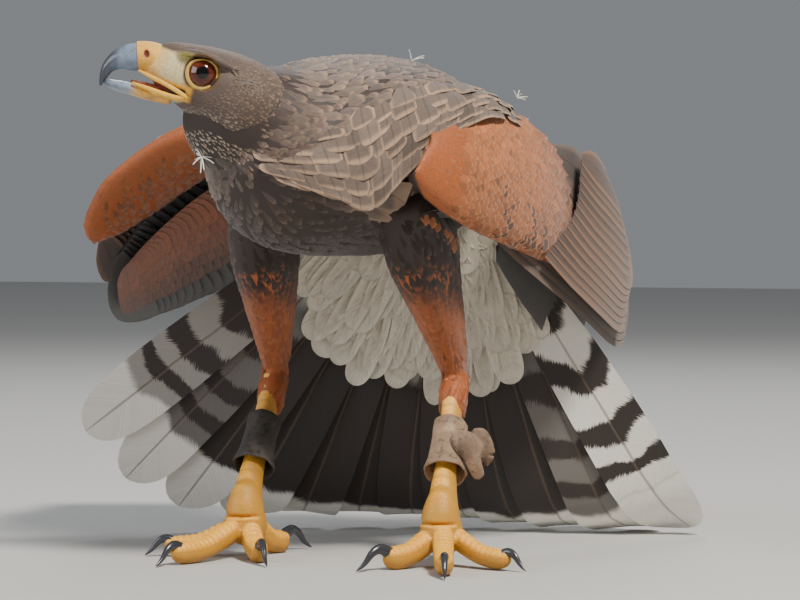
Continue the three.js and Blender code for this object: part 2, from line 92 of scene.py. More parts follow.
def to_head(points):
    return (np.asarray(points, float) - HEAD_AT) @ HEAD_AXES.T


def head_parts(points):
    """Points in the head's frame, and how far forward, to the side and up each is."""
    h = to_head(points)
    return h, h[:, 0], np.abs(h[:, 1]), h[:, 2]


def smooth(low_edge, high_edge, x):
    t = np.clip((x - low_edge) / (high_edge - low_edge), 0, 1)
    return t * t * (3 - 2 * t)


def mixed(a, b, t):
    return a + (b - a) * t


def over(colour, other, share):
    """A colour for each point, mixed with another by a share for each point."""
    return mixed(colour, np.array(other), share[:, None])


def unit(v):
    v = np.asarray(v, float)
    return v / np.maximum(np.linalg.norm(v, axis=-1, keepdims=True), 1e-9)


# Curves and forms


def hermite(a, b, c, d, w):
    """A place between b and c, on a curve that also heeds a and d."""
    gaps = [
        np.maximum(((q - r) ** 2).sum(-1, keepdims=True) ** 0.25, 1e-3)
        for q, r in ((a, b), (b, c), (c, d))
    ]
    g0, g1, g2 = gaps
    m1 = ((b - a) / g0 - (c - a) / (g0 + g1) + (c - b) / g1) * g1
    m2 = ((c - b) / g1 - (d - b) / (g1 + g2) + (d - c) / g2) * g1
    return (
        (2 * w**3 - 3 * w**2 + 1) * b
        + (w**3 - 2 * w**2 + w) * m1
        + (3 * w**2 - 2 * w**3) * c
        + (w**3 - w**2) * m2
    )


def along_rows(rows, t):
    """One point on each of many smooth curves, for rows of shape curves x points x 3."""
    p = np.concatenate([2 * rows[:, :1] - rows[:, 1:2], rows, 2 * rows[:, -1:] - rows[:, -2:-1]], 1)
    count = p.shape[1] - 3
    t = np.clip(t, 0, 1) * count
    k = np.minimum(t.astype(int), count - 1)
    w = (t - k)[:, None]
    n = np.arange(len(p))
    return hermite(p[n, k], p[n, k + 1], p[n, k + 2], p[n, k + 3], w)


def curve(points):
    """A smooth curve through points; the result takes an array of t from 0 to 1."""
    row = np.asarray(points, float)[None]

    def at(t):
        t = np.atleast_1d(np.asarray(t, float))
        return along_rows(np.repeat(row, len(t), 0), t)

    return at


def quads(rows, around, loop=False):
    """Faces between rings of points, with loop also from the last ring to the first."""
    faces = []
    for j in range(rows if loop else rows - 1):
        a, b = j * around, (j + 1) % rows * around
        for i in range(around):
            k = (i + 1) % around
            faces.append((a + i, a + k, b + k, b + i))
    return faces


def limb(stations, side=(1, 0, 0), around=32, along=32, grow=0.0, floor=None):
    """A closed form through stations, each x, y, z, half width, reach up and reach down."""
    stations = np.asarray(stations, float)
    path, size = curve(stations[:, :3]), curve(stations[:, 3:])
    s = np.linspace(0, 1, along + 1)
    u = (1 - np.cos(np.pi * s)) / 2
    middle = path(u)
    tangent = unit(path(u + 1e-3) - path(u - 1e-3))
    middle = middle - tangent * (grow * np.cos(np.pi * s))[:, None]
    side = np.asarray(side, float)
    across = unit(side - (tangent @ side)[:, None] * tangent)
    up = np.cross(across, tangent)
    up = np.where(up[:, 2:] < 0, -up, up)
    radii = np.maximum(size(u), 0.2) + grow
    radii = np.maximum(radii, 0.05)
    angle = np.linspace(0, 2 * np.pi, around, endpoint=False)
    cos, sin = np.cos(angle), np.sin(angle)
    height = np.where(sin > 0, radii[:, 1:2], radii[:, 2:3]) * sin
    ring = (
        middle[:, None]
        + across[:, None] * (radii[:, :1] * cos)[..., None]
        + up[:, None] * height[..., None]
    )
    verts = np.array([middle[0], *ring[1:-1].reshape(-1, 3), middle[-1]])
    faces = [tuple(corner + 1 for corner in face) for face in quads(along - 1, around)]
    last = 1 + (along - 2) * around
    for i in range(around):
        k = (i + 1) % around
        faces.append((0, 1 + k, 1 + i))
        faces.append((last + i, last + k, len(verts) - 1))
    if floor is not None:
        verts[:, 2] = np.maximum(verts[:, 2], floor)
    return verts, faces


def joined(forms):
    """The points and faces of many forms as one."""
    verts, faces, start = [], [], 0
    for v, f in forms:
        verts.append(v)
        faces.extend(tuple(i + start for i in face) for face in f)
        start += len(v)
    return np.vstack(verts), faces


# Pieces


def linked(name, data):
    """An object in the scene, for a mesh, a light or a camera."""
    made = bpy.data.objects.new(name, data)
    bpy.context.scene.collection.objects.link(made)
    return made


def body_piece(name, mesh, material):
    """A smooth piece of the bird, which is all one body."""
    mesh.polygons.foreach_set("use_smooth", [True] * len(mesh.polygons))
    mesh.materials.append(material)
    made = linked(name, mesh)
    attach(made, "root")
    return made


def piece(name, verts, faces, material):
    """A piece from points in millimetres, in the bird's frame."""
    mesh = bpy.data.meshes.new(name)
    placed = np.asarray(verts, float) * MM + SHIFT
    mesh.from_pydata(placed.tolist(), [], [tuple(int(i) for i in f) for f in faces])
    mesh.update()
    return body_piece(name, mesh, material)


def closed(obj):
    """Turns a piece's faces outwards."""
    bm = bmesh.new()
    bm.from_mesh(obj.data)
    bmesh.ops.recalc_face_normals(bm, faces=bm.faces)
    bm.to_mesh(obj.data)
    bm.free()
    return obj


def baked(obj, changes):
    """Applies modifiers, given as (type, settings), to a piece's mesh."""
    for kind, settings in changes:
        modifier = obj.modifiers.new(kind.lower(), kind)
        for key, value in settings.items():
            setattr(modifier, key, value)
    bpy.context.view_layer.update()
    evaluated = obj.evaluated_get(bpy.context.evaluated_depsgraph_get())
    mesh = bpy.data.meshes.new_from_object(evaluated)
    mesh.name = obj.name
    obj.modifiers.clear()
    obj.data = mesh
    mesh.polygons.foreach_set("use_smooth", [True] * len(mesh.polygons))
    return obj


BODY_VOXEL = 1.8
FACE_VOXEL = 0.55
FOOT_VOXEL = 0.75
KNOT_VOXEL = 0.6


def fused(name, forms, material, voxel, rounds):
    """One closed skin over forms that overlap."""
    verts, faces = joined(forms)
    made = closed(piece(name, verts, faces, material))
    steps = [
        ("REMESH", {"mode": "VOXEL", "voxel_size": voxel * MM}),
        ("SMOOTH", {"factor": 0.5, "iterations": rounds}),
    ]
    return closed(baked(made, steps))


def points_of(obj):
    flat = np.zeros(len(obj.data.vertices) * 3)
    obj.data.vertices.foreach_get("co", flat)
    return (flat.reshape(-1, 3) - SHIFT) / MM


def set_points(obj, points):
    placed = np.asarray(points, float) * MM + SHIFT
    obj.data.vertices.foreach_set("co", placed.ravel())
    obj.data.update()


def paint(obj, name, colours):
    """A colour for each point of a mesh, or one for all."""
    layer = obj.data.color_attributes.new(name, "FLOAT_COLOR", "POINT")
    rgba = np.ones((len(obj.data.vertices), 4))
    rgba[:, :3] = colours
    layer.data.foreach_set("color", rgba.ravel())


def map_uv(obj, name, uv):
    """A UV map from one pair of numbers for each point."""
    layer = obj.data.uv_layers.new(name=name)
    corners = np.zeros(len(obj.data.loops), dtype=np.int32)
    obj.data.loops.foreach_get("vertex_index", corners)
    layer.data.foreach_set("uv", np.asarray(uv)[corners].ravel())


# Materials


def material(name, roughness=0.6, colour=(0.5, 0.5, 0.5), **plain):
    """A material and its nodes; the other values are named as the shader's inputs."""
    made = bpy.data.materials.new(name)
    made.use_nodes = True
    shader = made.node_tree.nodes["Principled BSDF"]
    shader.inputs["Roughness"].default_value = roughness
    shader.inputs["Base Color"].default_value = (*colour, 1)
    for key, value in plain.items():
        shader.inputs[key.replace("_", " ")].default_value = value
    return made, Nodes(made.node_tree)


class Nodes:
    """Short calls for a material's node tree."""

    def __init__(self, tree):
        self.tree = tree
        self.shader = tree.nodes["Principled BSDF"]

    def new(self, kind, **settings):
        node = self.tree.nodes.new("ShaderNode" + kind)
        for key, value in settings.items():
            setattr(node, key, value)
        return node

    def link(self, start, end):
        self.tree.links.new(start, end)

    def put(self, socket, value):
        if hasattr(value, "is_output"):
            self.link(value, socket)
        else:
            socket.default_value = value

    def math(self, operation, a, b=0.0, clamp=False):
        node = self.new("Math", operation=operation, use_clamp=clamp)
        self.put(node.inputs[0], a)
        self.put(node.inputs[1], b)
        return node.outputs[0]

    def times(self, a, b):
        return self.math("MULTIPLY", a, b)

    def plus(self, a, b):
        return self.math("ADD", a, b)

    def minus(self, a, b):
        return self.math("SUBTRACT", a, b)

    def parts(self, value, kind="SeparateXYZ"):
        """The three numbers of a vector, or of a colour."""
        node = self.new(kind)
        self.link(value, node.inputs[0])
        return list(node.outputs)

    def vector(self, *values):
        node = self.new("CombineXYZ")
        for socket, value in zip(node.inputs, values):
            self.put(socket, value)
        return node.outputs[0]

    def map_parts(self, name):
        """How far across and how far along a map each place lies."""
        across, along, _ = self.parts(self.new("UVMap", uv_map=name).outputs[0])
        return across, along

    def from_middle(self, across):
        """0 on the shaft of a feather and 1 at both of its edges."""
        return self.math("ABSOLUTE", self.minus(self.times(across, 2.0), 1.0))

    def between(self, value, low_edge, high_edge):
        node = self.new("MapRange", interpolation_type="SMOOTHSTEP")
        self.put(node.inputs[0], value)
        self.put(node.inputs[1], low_edge)
        self.put(node.inputs[2], high_edge)
        return node.outputs[0]

    def mix(self, share, a, b):
        node = self.new("Mix", data_type="RGBA")
        self.put(node.inputs[0], share)
        for socket, value in ((node.inputs[6], a), (node.inputs[7], b)):
            if isinstance(value, tuple):
                value = (*value[:3], 1)
            self.put(socket, value)
        return node.outputs[2]

    def attribute(self, name):
        return self.new("Attribute", attribute_name=name).outputs["Color"]

    def place(self):
        return self.new("TexCoord").outputs["Object"]

    def noise(self, scale, detail=3.0, vector=None, roughness=0.5):
        node = self.new("TexNoise")
        self.put(node.inputs["Vector"], self.place() if vector is None else vector)
        node.inputs["Scale"].default_value = scale
        node.inputs["Detail"].default_value = detail
        node.inputs["Roughness"].default_value = roughness
        return node.outputs[0]

    def bump(self, height, strength, distance):
        node = self.new("Bump")
        self.put(node.inputs["Height"], height)
        node.inputs["Strength"].default_value = strength
        node.inputs["Distance"].default_value = distance
        self.link(node.outputs[0], self.shader.inputs["Normal"])

    def colour(self, value):
        self.link(value, self.shader.inputs["Base Color"])


def feather_material():
    """Barbs, shaft and fringe over each feather's own two colours, laid by its own map."""
    made, n = material("feather", 0.72, Sheen_Weight=0.25, Sheen_Roughness=0.5, Specular_IOR_Level=0.28)
    u, along = n.map_parts("Vane")
    across = n.from_middle(u)
    chance, fringed, shafted = n.parts(n.attribute("Seed"), "SeparateColor")
    slant = n.minus(n.times(along, 34.0), n.times(across, 9.0))
    barbs = n.vector(slant, n.times(across, 1.2), n.times(chance, 60.0))
    strands = n.noise(2.6, 3.0, barbs, 0.6)
    ragged = n.times(n.minus(strands, 0.5), 0.34)
    rim = n.between(n.plus(across, ragged), 0.62, 0.9)
    tip = n.between(n.plus(along, n.times(ragged, 0.6)), 0.8, 0.94)
    edge = n.math("MAXIMUM", rim, tip)
    edge = n.math("MULTIPLY", edge, fringed, clamp=True)
    base = n.attribute("Tint")
    fringe = n.attribute("Fringe")
    body = n.mix(n.times(n.between(strands, 0.3, 0.75), 0.45), base, (0, 0, 0))
    whole = n.mix(edge, body, fringe)
    shaft = n.minus(1.0, n.between(across, 0.02, 0.09))
    shaft = n.times(shaft, shafted)
    n.colour(n.mix(n.times(shaft, 0.6), whole, (0.03, 0.018, 0.012)))
    height = n.plus(n.times(strands, 0.7), n.times(shaft, 0.8))
    n.bump(height, 0.55, 0.0006)
    return made


def skin_material():
    """Painted skin with a fine grain."""
    made, n = material("skin", 0.6)
    fine = n.noise(900.0, 4.0)
    tint = n.attribute("Tint")
    n.colour(n.mix(n.times(n.between(fine, 0.35, 0.7), 0.25), tint, (0.02, 0.01, 0.005)))
    n.bump(fine, 0.25, 0.0005)
    return made


def scaled_material():
    """The yellow skin of the feet, with small scales."""
    made, n = material("leg_skin", 0.48, Subsurface_Weight=0.08, Subsurface_Radius=(0.004, 0.002, 0.001))
    cells = n.new("TexVoronoi", feature="DISTANCE_TO_EDGE")
    n.link(n.place(), cells.inputs["Vector"])
    cells.inputs["Scale"].default_value = 620
    line = n.between(cells.outputs[0], 0.0, 0.14)
    patch = n.noise(160, 3.0)
    tint = n.attribute("Tint")
    warm = n.mix(n.times(n.between(patch, 0.35, 0.7), 0.4), tint, (0.8, 0.3, 0.02))
    # Painted shade: a darker brown in the grooves between the scales
    groove_shade = n.mix(n.times(n.minus(1.0, line), 0.3), warm, (0.4, 0.16, 0.02))
    n.colour(groove_shade)
    n.bump(n.plus(line, n.times(n.noise(2200), 0.3)), 0.28, 0.0003)
    return made


def horn_material(name, roughness):
    """Painted horn with growth lines."""
    made, n = material(name, roughness, Coat_Weight=0.25, Coat_Roughness=0.2)
    streaks = n.noise(260, 5.0)
    tint = n.attribute("Tint")
    n.colour(n.mix(n.times(n.between(streaks, 0.4, 0.72), 0.4), tint, (0.02, 0.024, 0.03)))
    n.bump(streaks, 0.18, 0.0004)
    return made


def eye_material():
    """Iris rings, fibres and the pupil, by distance from the eye's own axis."""
    made, n = material("eye", 0.08, Coat_Weight=0.45, Coat_Roughness=0.03, Specular_IOR_Level=0.3)
    radius, turn = n.map_parts("Iris")
    strand = n.noise(1.6, 3.0, n.vector(n.times(turn, 60.0), n.times(radius, 2.0)))
    iris = n.mix(n.between(strand, 0.3, 0.7), (0.05, 0.008, 0.003), (0.16, 0.03, 0.009))
    deep = n.mix(n.between(radius, 0.36, 0.6), (0.07, 0.012, 0.004), iris)
    inner = n.mix(n.between(radius, 0.33, 0.37), (0.001, 0.001, 0.0015), deep)
    n.colour(n.mix(n.between(radius, 0.7, 0.8), inner, (0.006, 0.003, 0.002)))
    return made


def leather_material(name, colour):
    made, n = material(name, 0.7)
    creases = n.noise(420, 5.0)
    wear = n.noise(90, 3.0)
    dark = tuple(c * 0.45 for c in colour)
    pale = tuple(min(1.0, c * 1.9) for c in colour)
    worn = n.mix(n.between(wear, 0.45, 0.75), colour, pale)
    n.colour(n.mix(n.between(creases, 0.5, 0.72), worn, dark))
    n.bump(creases, 0.5, 0.0005)
    return made


FEATHER = feather_material()
SKIN = skin_material()
LEG = scaled_material()
HORN = horn_material("horn", 0.28)
CLAW = horn_material("claw_horn", 0.22)
EYE = eye_material()

# Colours of the plumage, linear
HEAD_BROWN = (0.135, 0.093, 0.072)
NECK_BROWN = (0.1, 0.068, 0.052)
NECK_FRINGE = (0.32, 0.22, 0.155)
THROAT = (0.3, 0.22, 0.15)
BREAST = (0.03, 0.017, 0.013)
MANTLE_BROWN = (0.2, 0.147, 0.118)
BUFF = (0.52, 0.34, 0.22)
RUFOUS = (0.46, 0.145, 0.042)
RUFOUS_PALE = (0.58, 0.26, 0.11)
TROUSER = (0.37, 0.095, 0.022)
CREAM = (0.84, 0.76, 0.62)
COVERT_FRINGE = (0.9, 0.83, 0.7)
TAIL_WHITE = (0.92, 0.88, 0.8)
BLACK_BROWN = (0.022, 0.015, 0.012)
DARK_WING = (0.05, 0.034, 0.027)

# The forms of the body

SKULL = [
    [31, 0, -3, 2, 2, 2],
    [27, 0, -3, 8, 9.5, 5],
    [20, 0, -3, 12, 14, 10.5],
    [10, 0, -3, 17, 16, 15],
    [0, 0, -3, 19.8, 17.5, 19],
    [-12, 0, -4, 22.5, 19, 23],
    [-24, 0, -6, 24, 19, 26],
    [-36, 0, -9, 20, 16, 22],
    [-44, 0, -11, 2, 2, 2],
]
TORSO = [
    [-15, -76, 184, 3, 3, 3],
    [-14, -66, 186, 27, 26, 26],
    [-12, -44, 189, 44, 44, 42],
    [-8, -8, 192, 55, 52, 48],
    [-4, 36, 192, 58, 52, 48],
    [0, 78, 190, 50, 44, 43],
    [3, 108, 188, 34, 28, 30],
    [4, 134, 186, 16, 13, 14],
    [4, 142, 185, 2, 2, 2],
]
NECK = [
    [-42, -68, 232, 2, 2, 2],
    [-38, -65, 228, 18, 16, 17],
    [-31, -57, 217, 29, 29, 27],
    [-21, -42, 206, 38, 37, 36],
    [-13, -18, 198, 47, 46, 44],
    [-9, 10, 195, 40, 40, 36],
    [-8, 22, 194, 3, 3, 3],
]
MANTLE = [
    [-14, -36, 212, 4, 3, 3],
    [-11, -26, 212, 46, 24, 10],
    [-7, 0, 212, 62, 34, 14],
    [-4, 32, 212, 64, 36, 14],
    [0, 66, 210, 54, 32, 12],
    [2, 92, 206, 30, 20, 10],
    [3, 104, 204, 3, 3, 3],
]
TAIL_BASE = [
    [3, 100, 198, 3, 3, 3],
    [3, 108, 190, 20, 16, 18],
    [0, 121, 168, 28, 12, 14],
    [-5, 129, 140, 38, 7, 8],
    [-9, 135, 118, 36, 4, 5],
    [-11, 139, 108, 4, 1, 1],
]
ARMS = {
    "left": [
        [38, -8, 208, 3, 3, 3],
        [47, -14, 200, 11, 18, 24],
        [61, 8, 190, 13, 34, 32],
        [69, 54, 180, 13, 42, 34],
        [70, 104, 166, 9, 38, 30],
        [67, 146, 152, 4, 26, 20],
        [65, 164, 145, 1, 3, 3],
    ],
    "right": [
        [-34, 4, 214, 3, 3, 3],
        [-46, 4, 210, 12, 16, 16],
        [-84, 6, 198, 26, 9, 10],
        [-118, 8, 178, 26, 8, 9],
        [-137, 8, 160, 16, 6, 7],
        [-145, 10, 150, 2, 2, 2],
    ],
}
SHOULDER = [
    [34, -22, 196, 3, 3, 3],
    [40, -15, 196, 10, 9, 9],
    [49, -5, 198, 12, 9, 10],
    [57, 8, 200, 12, 8, 10],
    [62, 20, 200, 3, 3, 3],
]
ARM_SIDE = {"left": (1, 0, 0.2), "right": (0, 1, -0.35)}


def thigh_stations(side):
    kx, ky, kz = KNEES[side]
    hx, hy, hz = HEELS[side]
    rows = [
        (-0.25, 3, 3, 3),
        (-0.15, 17, 24, 26),
        (0.15, 18, 26, 28),
        (0.45, 15, 20, 22),
        (0.75, 11.5, 14, 15),
        (1, 8.5, 9, 12),
    ]
    found = [
        [mixed(kx, hx, t), mixed(ky, hy, t), mixed(kz, hz, t), *size]
        for t, *size in rows
    ]
    fx = FEET[side][0]
    found.append([mixed(hx, fx, 0.2), hy - 10, hz - 12, 9.4, 9.4, 10.2])
    found.append([mixed(hx, fx, 0.3), hy - 14, hz - 22, 8.6, 8.6, 9.2])
    found.append([mixed(hx, fx, 0.34), hy - 16, hz - 27, 1.5, 1.5, 1.5])
    return found


def head_stations(stations):
    rows = np.array(stations, float)
    rows[:, :3] = from_head(rows[:, :3])
    return rows


BODY_FORMS = {
    "torso": (TORSO, (1, 0, 0), -3.4),
    "mantle": (MANTLE, (1, 0, 0), -3.2),
    "neck": (NECK, (1, 0, 0), -2.6),
    "skull": (head_stations(SKULL), tuple(leftward), -2.4),
    "tail_base": (TAIL_BASE, (1, 0, 0), -2.0),
    "shoulder": (SHOULDER, (0, 0, 1), -2.0),
    "thigh_left": (thigh_stations("left"), (1, 0, 0), -2.2),
    "thigh_right": (thigh_stations("right"), (1, 0, 0), -2.2),
    "arm_left": (ARMS["left"], ARM_SIDE["left"], -1.8),
    "arm_right": (ARMS["right"], ARM_SIDE["right"], -1.8),
}


def body_skin():
    forms = [limb(s, side, grow=grow) for s, side, grow in BODY_FORMS.values()]
    return fused("skin_body", forms, SKIN, BODY_VOXEL, rounds=6)


# How the plumage lies: the nearest form's own direction, from bill to tail

FLOW_PATHS = {
    name: curve(np.asarray(stations, float)[:, :3])
    for name, (stations, _, _) in BODY_FORMS.items()
}
FLOW_SIZES = {
    name: curve(np.asarray(stations, float)[:, 3:])
    for name, (stations, _, _) in BODY_FORMS.items()
}
FLOW_FIXED = {
    "arm_left": unit([0.0, 0.93, -0.36]),
    "arm_right": unit([-0.16, 0.9, -0.4]),
}


def nearest_forms(points):
    """How near each point is to each form, as a share of its size, and the form's way there."""
    t = np.linspace(0.04, 0.96, 40)
    found = {}
    for name, path in FLOW_PATHS.items():
        line = path(t)
        size = FLOW_SIZES[name](t).max(1)
        step = unit(path(t + 0.01) - path(t - 0.01))
        gap = np.linalg.norm(points[:, None] - line[None], axis=2) / size[None]
        best = gap.argmin(1)
        found[name] = (gap.min(1), FLOW_FIXED.get(name, step[best]))
    return found


def flow_field(points, normals):
    """The way each feather points, along the skin."""
    near = nearest_forms(points)
    total = np.zeros_like(points)
    for gap, way in near.values():
        total += np.exp(-6 * np.maximum(gap - 0.55, 0))[:, None] * way
    head = to_head(points)
    bill = unit(head - np.array([34.0, 0, -8.0])) @ HEAD_AXES
    share = smooth(-46, -10, head[:, 0]) * smooth(34, 20, np.abs(head[:, 1]))
    share = (share * smooth(-44, -24, head[:, 2]))[:, None]
    total = unit(total) * (1 - share) + bill * share
    total -= (total * normals).sum(1)[:, None] * normals
    return unit(total), near


# Contour feathers: scattered roots, each with a curved vane laid over the skin

ROOT_TRIES = {"body": 160000, "face": 90000}
COAT_OVERLAP = 3.4
ROWS = np.array([0.0, 0.28, 0.55, 0.78, 0.93, 1.0])
WIDTHS = np.array([0.4, 0.82, 1.0, 0.86, 0.5, 0.1])


def scatter(obj, spacing_of, tries):
    """Roots on a mesh, no closer than spacing_of says, with normals."""
    mesh = obj.data
    mesh.calc_loop_triangles()
    tri = np.zeros(len(mesh.loop_triangles) * 3, dtype=np.int32)
    mesh.loop_triangles.foreach_get("vertices", tri)
    corners = points_of(obj)[tri.reshape(-1, 3)]
    cross = np.cross(corners[:, 1] - corners[:, 0], corners[:, 2] - corners[:, 0])
    area = np.linalg.norm(cross, axis=1) / 2
    pick = rng.choice(len(area), tries, p=area / area.sum())
    a, b = rng.random((2, tries, 1))
    a, b = np.where(a + b > 1, 1 - a, a), np.where(a + b > 1, 1 - b, b)
    c = corners[pick]
    points = c[:, 0] + a * (c[:, 1] - c[:, 0]) + b * (c[:, 2] - c[:, 0])
    normals = unit(cross[pick])
    spacing = spacing_of(points, normals)
    tree = KDTree(tries)
    for i, point in enumerate(points):
        tree.insert(point, i)
    tree.balance()
    free = spacing > 0
    kept = []
    for i in range(tries):
        if free[i]:
            kept.append(i)
            for _, j, _ in tree.find_range(points[i], spacing[i]):
                free[j] = False
    return points[kept], normals[kept]


MAP_AXIS = np.array([-8.0, 0.0, 195.0])
MAP_MARGIN = 0.02
MAP_PATCH = 0.003


def bake_map(points):
    """A place for each root on an unwrap of the body: round its length and along it."""
    away = points - MAP_AXIS
    turn = np.arctan2(away[:, 0], away[:, 2] + 1e-6) / (2 * np.pi) + 0.5
    run = np.arctan2(away[:, 1], np.hypot(away[:, 0], away[:, 2])) / np.pi + 0.5
    return MAP_MARGIN + np.stack([turn, run], 1) * (1 - 2 * MAP_MARGIN)


def feather_mesh(name, grid, tint, fringe, seed, roots, slot, row_at):
    """One object from feathers, each a grid of rows by columns of points."""
    count, rows, columns, _ = grid.shape
    verts = grid.reshape(-1, 3)
    j, i = np.meshgrid(np.arange(rows - 1), np.arange(columns - 1), indexing="ij")
    corner = (j * columns + i).ravel()
    quads = np.stack([corner, corner + 1, corner + columns + 1, corner + columns], 1)
    faces = (quads[None] + (np.arange(count) * rows * columns)[:, None, None]).reshape(-1, 4)
    mesh = bpy.data.meshes.new(name)
    placed = verts * MM + SHIFT
    mesh.vertices.add(len(placed))
    mesh.vertices.foreach_set("co", placed.ravel())
    mesh.loops.add(faces.size)
    mesh.loops.foreach_set("vertex_index", faces.ravel().astype(np.int32))
    mesh.polygons.add(len(faces))
    mesh.polygons.foreach_set("loop_start", np.arange(0, faces.size, 4, dtype=np.int32))
    mesh.update(calc_edges=True)
    made = body_piece(name, mesh, FEATHER)
    each = rows * columns
    paint(made, "Tint", np.repeat(tint, each, 0))
    paint(made, "Fringe", np.repeat(fringe, each, 0))
    paint(made, "Seed", np.repeat(seed, each, 0))
    u = np.linspace(0, 1, columns)
    local = np.stack(np.meshgrid(u, row_at), -1).reshape(-1, 2)
    map_uv(made, "Vane", np.tile(local, (count, 1)))
    patch = bake_map(roots)[:, None] + (local[None] - 0.5) * MAP_PATCH
    map_uv(made, "OFBake", patch.reshape(-1, 2))
    return made


def laid_feathers(name, tree, roots, normals, flow, kind, slot):
    """Feathers whose points each rest over the skin, rising from root to tip."""
    count = len(roots)
    length, width = kind["length"], kind["width"]
    across = unit(np.cross(flow, normals))
    u = np.array([-1.0, 0.0, 1.0])
    grid = np.zeros((count, len(ROWS), 3, 3))
    rise = kind["rise"]
    for j, (v, w) in enumerate(zip(ROWS, WIDTHS)):
        for i, side in enumerate(u):
            target = (
                roots
                + flow * (length * v)[:, None]
                + across * (side * w * width / 2 + kind["bend"] * v * v * length)[:, None]
            )
            height = kind["sink"] + rise * v**0.8 - side * side * width * 0.09
            for k in range(count):
                near, normal, _, _ = tree.find_nearest(target[k])
                grid[k, j, i] = np.array(near) + np.array(normal) * height[k]
    step = np.linalg.norm(np.diff(grid[:, :, 1], axis=1), axis=2).max(1)
    spread = np.linalg.norm(grid[:, 2, 0] - grid[:, 2, 2], axis=1)
    whole = (step < 0.5 * length + 1.5) & (spread < 1.5 * width + 1.5)
    parts = (grid, kind["tint"], kind["fringe"], kind["seed"], roots)
    return feather_mesh(name, *(values[whole] for values in parts), slot, ROWS)


def skin_tree(obj):
    mesh = obj.data
    faces = [tuple(p.vertices) for p in mesh.polygons]
    return BVHTree.FromPolygons(points_of(obj).tolist(), faces)


SHAWL_EDGE = (
    (-90, 200), (-70, 187), (-58, 177), (-37, 171), (-21, 186), (-3, 201), (6, 208), (31, 214), (90, 212),
)


def plumage(points, normals, near):
    """Size, colour and fringe of the feather that grows at each point."""
    count = len(points)
    head = to_head(points)
    gap = {name: values[0] for name, values in near.items()}
    x, y, z = points.T
    best = np.argmin(np.stack([gap[n] for n in gap]), 0)
    names = np.array(list(gap))[best]
    is_left = (names == "arm_left") & (normals[:, 0] > -0.5)
    is_right = (names == "arm_right") | (x < -66)
    is_leg = np.char.startswith(names.astype(str), "thigh") & (z < 158)
    is_tail = (names == "tail_base") | ((y > 108) & (z < 205))
    is_head = (head[:, 0] > -30) & (np.abs(head[:, 1]) < 34) & (head[:, 2] > -32)
    edge_z = np.interp(y, *np.array(SHAWL_EDGE).T)
    shawl = smooth(-7, 1, z - edge_z) * smooth(-74, -56, y)
    length = np.full(count, 14.0)
    width = np.full(count, 4.4)
    tint = np.tile(NECK_BROWN, (count, 1))
    fringe = np.tile(NECK_FRINGE, (count, 1))
    edge = np.full(count, 0.26)
    shaft = np.full(count, 0.2)

    def blend(share, values):
        nonlocal length, width, tint, fringe, edge, shaft
        s = np.asarray(share, float)
        length = mixed(length, values[0], s)
        width = mixed(width, values[1], s)
        tint = over(tint, values[2], s)
        fringe = over(fringe, values[3], s)
        edge = mixed(edge, values[4], s)
        shaft = mixed(shaft, values[5], s)

    breast = smooth(206, 182, z) * smooth(-78, -52, y)
    blend(breast, (18, 9, BREAST, NECK_BROWN, 0.3, 0.1))
    near_edge = smooth(-30, 0, z - edge_z) * smooth(34, 6, z - edge_z) * smooth(-66, -40, y)
    blend(shawl, (19, 9.5, MANTLE_BROWN, BUFF, 0.4, 0.3))
    large = shawl * np.maximum(near_edge, smooth(-10, 40, y))
    blend(large, (28, 18, MANTLE_BROWN, BUFF, 0.55, 0.5))
    rump = smooth(92, 112, y) * smooth(190, 200, z)
    blend(rump, (30, 16, BLACK_BROWN, CREAM, 0.6, 0.3))
    blend(is_tail & (z < 186), (34, 12, CREAM, CREAM, 0.2, 0.05))
    blend(is_leg, (16, 5.0, TROUSER, RUFOUS, 0.4, 0.1))
    upper = is_leg * smooth(126, 144, z)
    blend(upper, (18, 7, BREAST, TROUSER, 0.4, 0.1))
    blend(is_left, (9, 7, np.array(RUFOUS) * 0.8, RUFOUS, 0.4, 0.2))
    blend(is_right, (14, 9, np.array(RUFOUS) * 0.72, RUFOUS, 0.4, 0.2))
    inside = is_right & (normals[:, 2] > 0.2) & (x > -100)
    blend(inside, (22, 13, MANTLE_BROWN, RUFOUS, 0.55, 0.4))
    face = np.where(is_head, smooth(-30, 4, head[:, 0]), 0)
    blend(is_head, (9.5, 2.6, HEAD_BROWN, BUFF, 0.3, 0.1))
    blend(face, (6.2, 1.5, HEAD_BROWN, BUFF, 0.25, 0.1))
    throat = face * smooth(-13, -19, head[:, 2])
    blend(throat, (7.5, 2.0, THROAT, CREAM, 0.5, 0.1))
    crown = face * smooth(20, 26, head[:, 0])
    blend(crown, (4.0, 1.1, HEAD_BROWN, BUFF, 0.3, 0.1))
    smudge = np.hypot((head[:, 0] + 12) / 8, (head[:, 2] - 1) / 5)
    shade = 1 - 0.6 * is_head * smooth(1.2, 0.4, smudge)
    over_eye = np.hypot((head[:, 0] - 1) / 11, (head[:, 2] - 9.6) / 2.2)
    shade = shade * (1 - 0.55 * is_head * smooth(1.2, 0.5, over_eye))
    vary = rng.normal(1, 0.17, (count, 1))
    tint = np.clip(tint * shade[:, None] * vary * rng.normal(1, 0.04, (count, 3)), 0, 1)
    length = length * rng.uniform(0.85, 1.15, count)
    seed = np.stack([rng.random(count), edge * rng.uniform(0.4, 1.35, count), shaft], 1)
    regions = {
        "head": is_head,
        "wing_left": is_left & ~is_head,
        "wing_right": is_right & ~is_head,
        "legs": is_leg & ~is_left & ~is_right,
        "tail": is_tail & ~is_left & ~is_right,
    }
    taken = np.any(np.stack(list(regions.values())), 0)
    regions["back"] = (shawl > 0.5) & ~taken
    regions["breast"] = ~taken & ~regions["back"]
    return {
        "length": length,
        "width": width,
        "tint": tint,
        "fringe": fringe,
        "seed": np.clip(seed, 0, 1),
        "rise": 0.3 + length * 0.048,
        "sink": np.full(count, -0.5),
        "bend": rng.normal(0, 0.035, count),
    }, regions


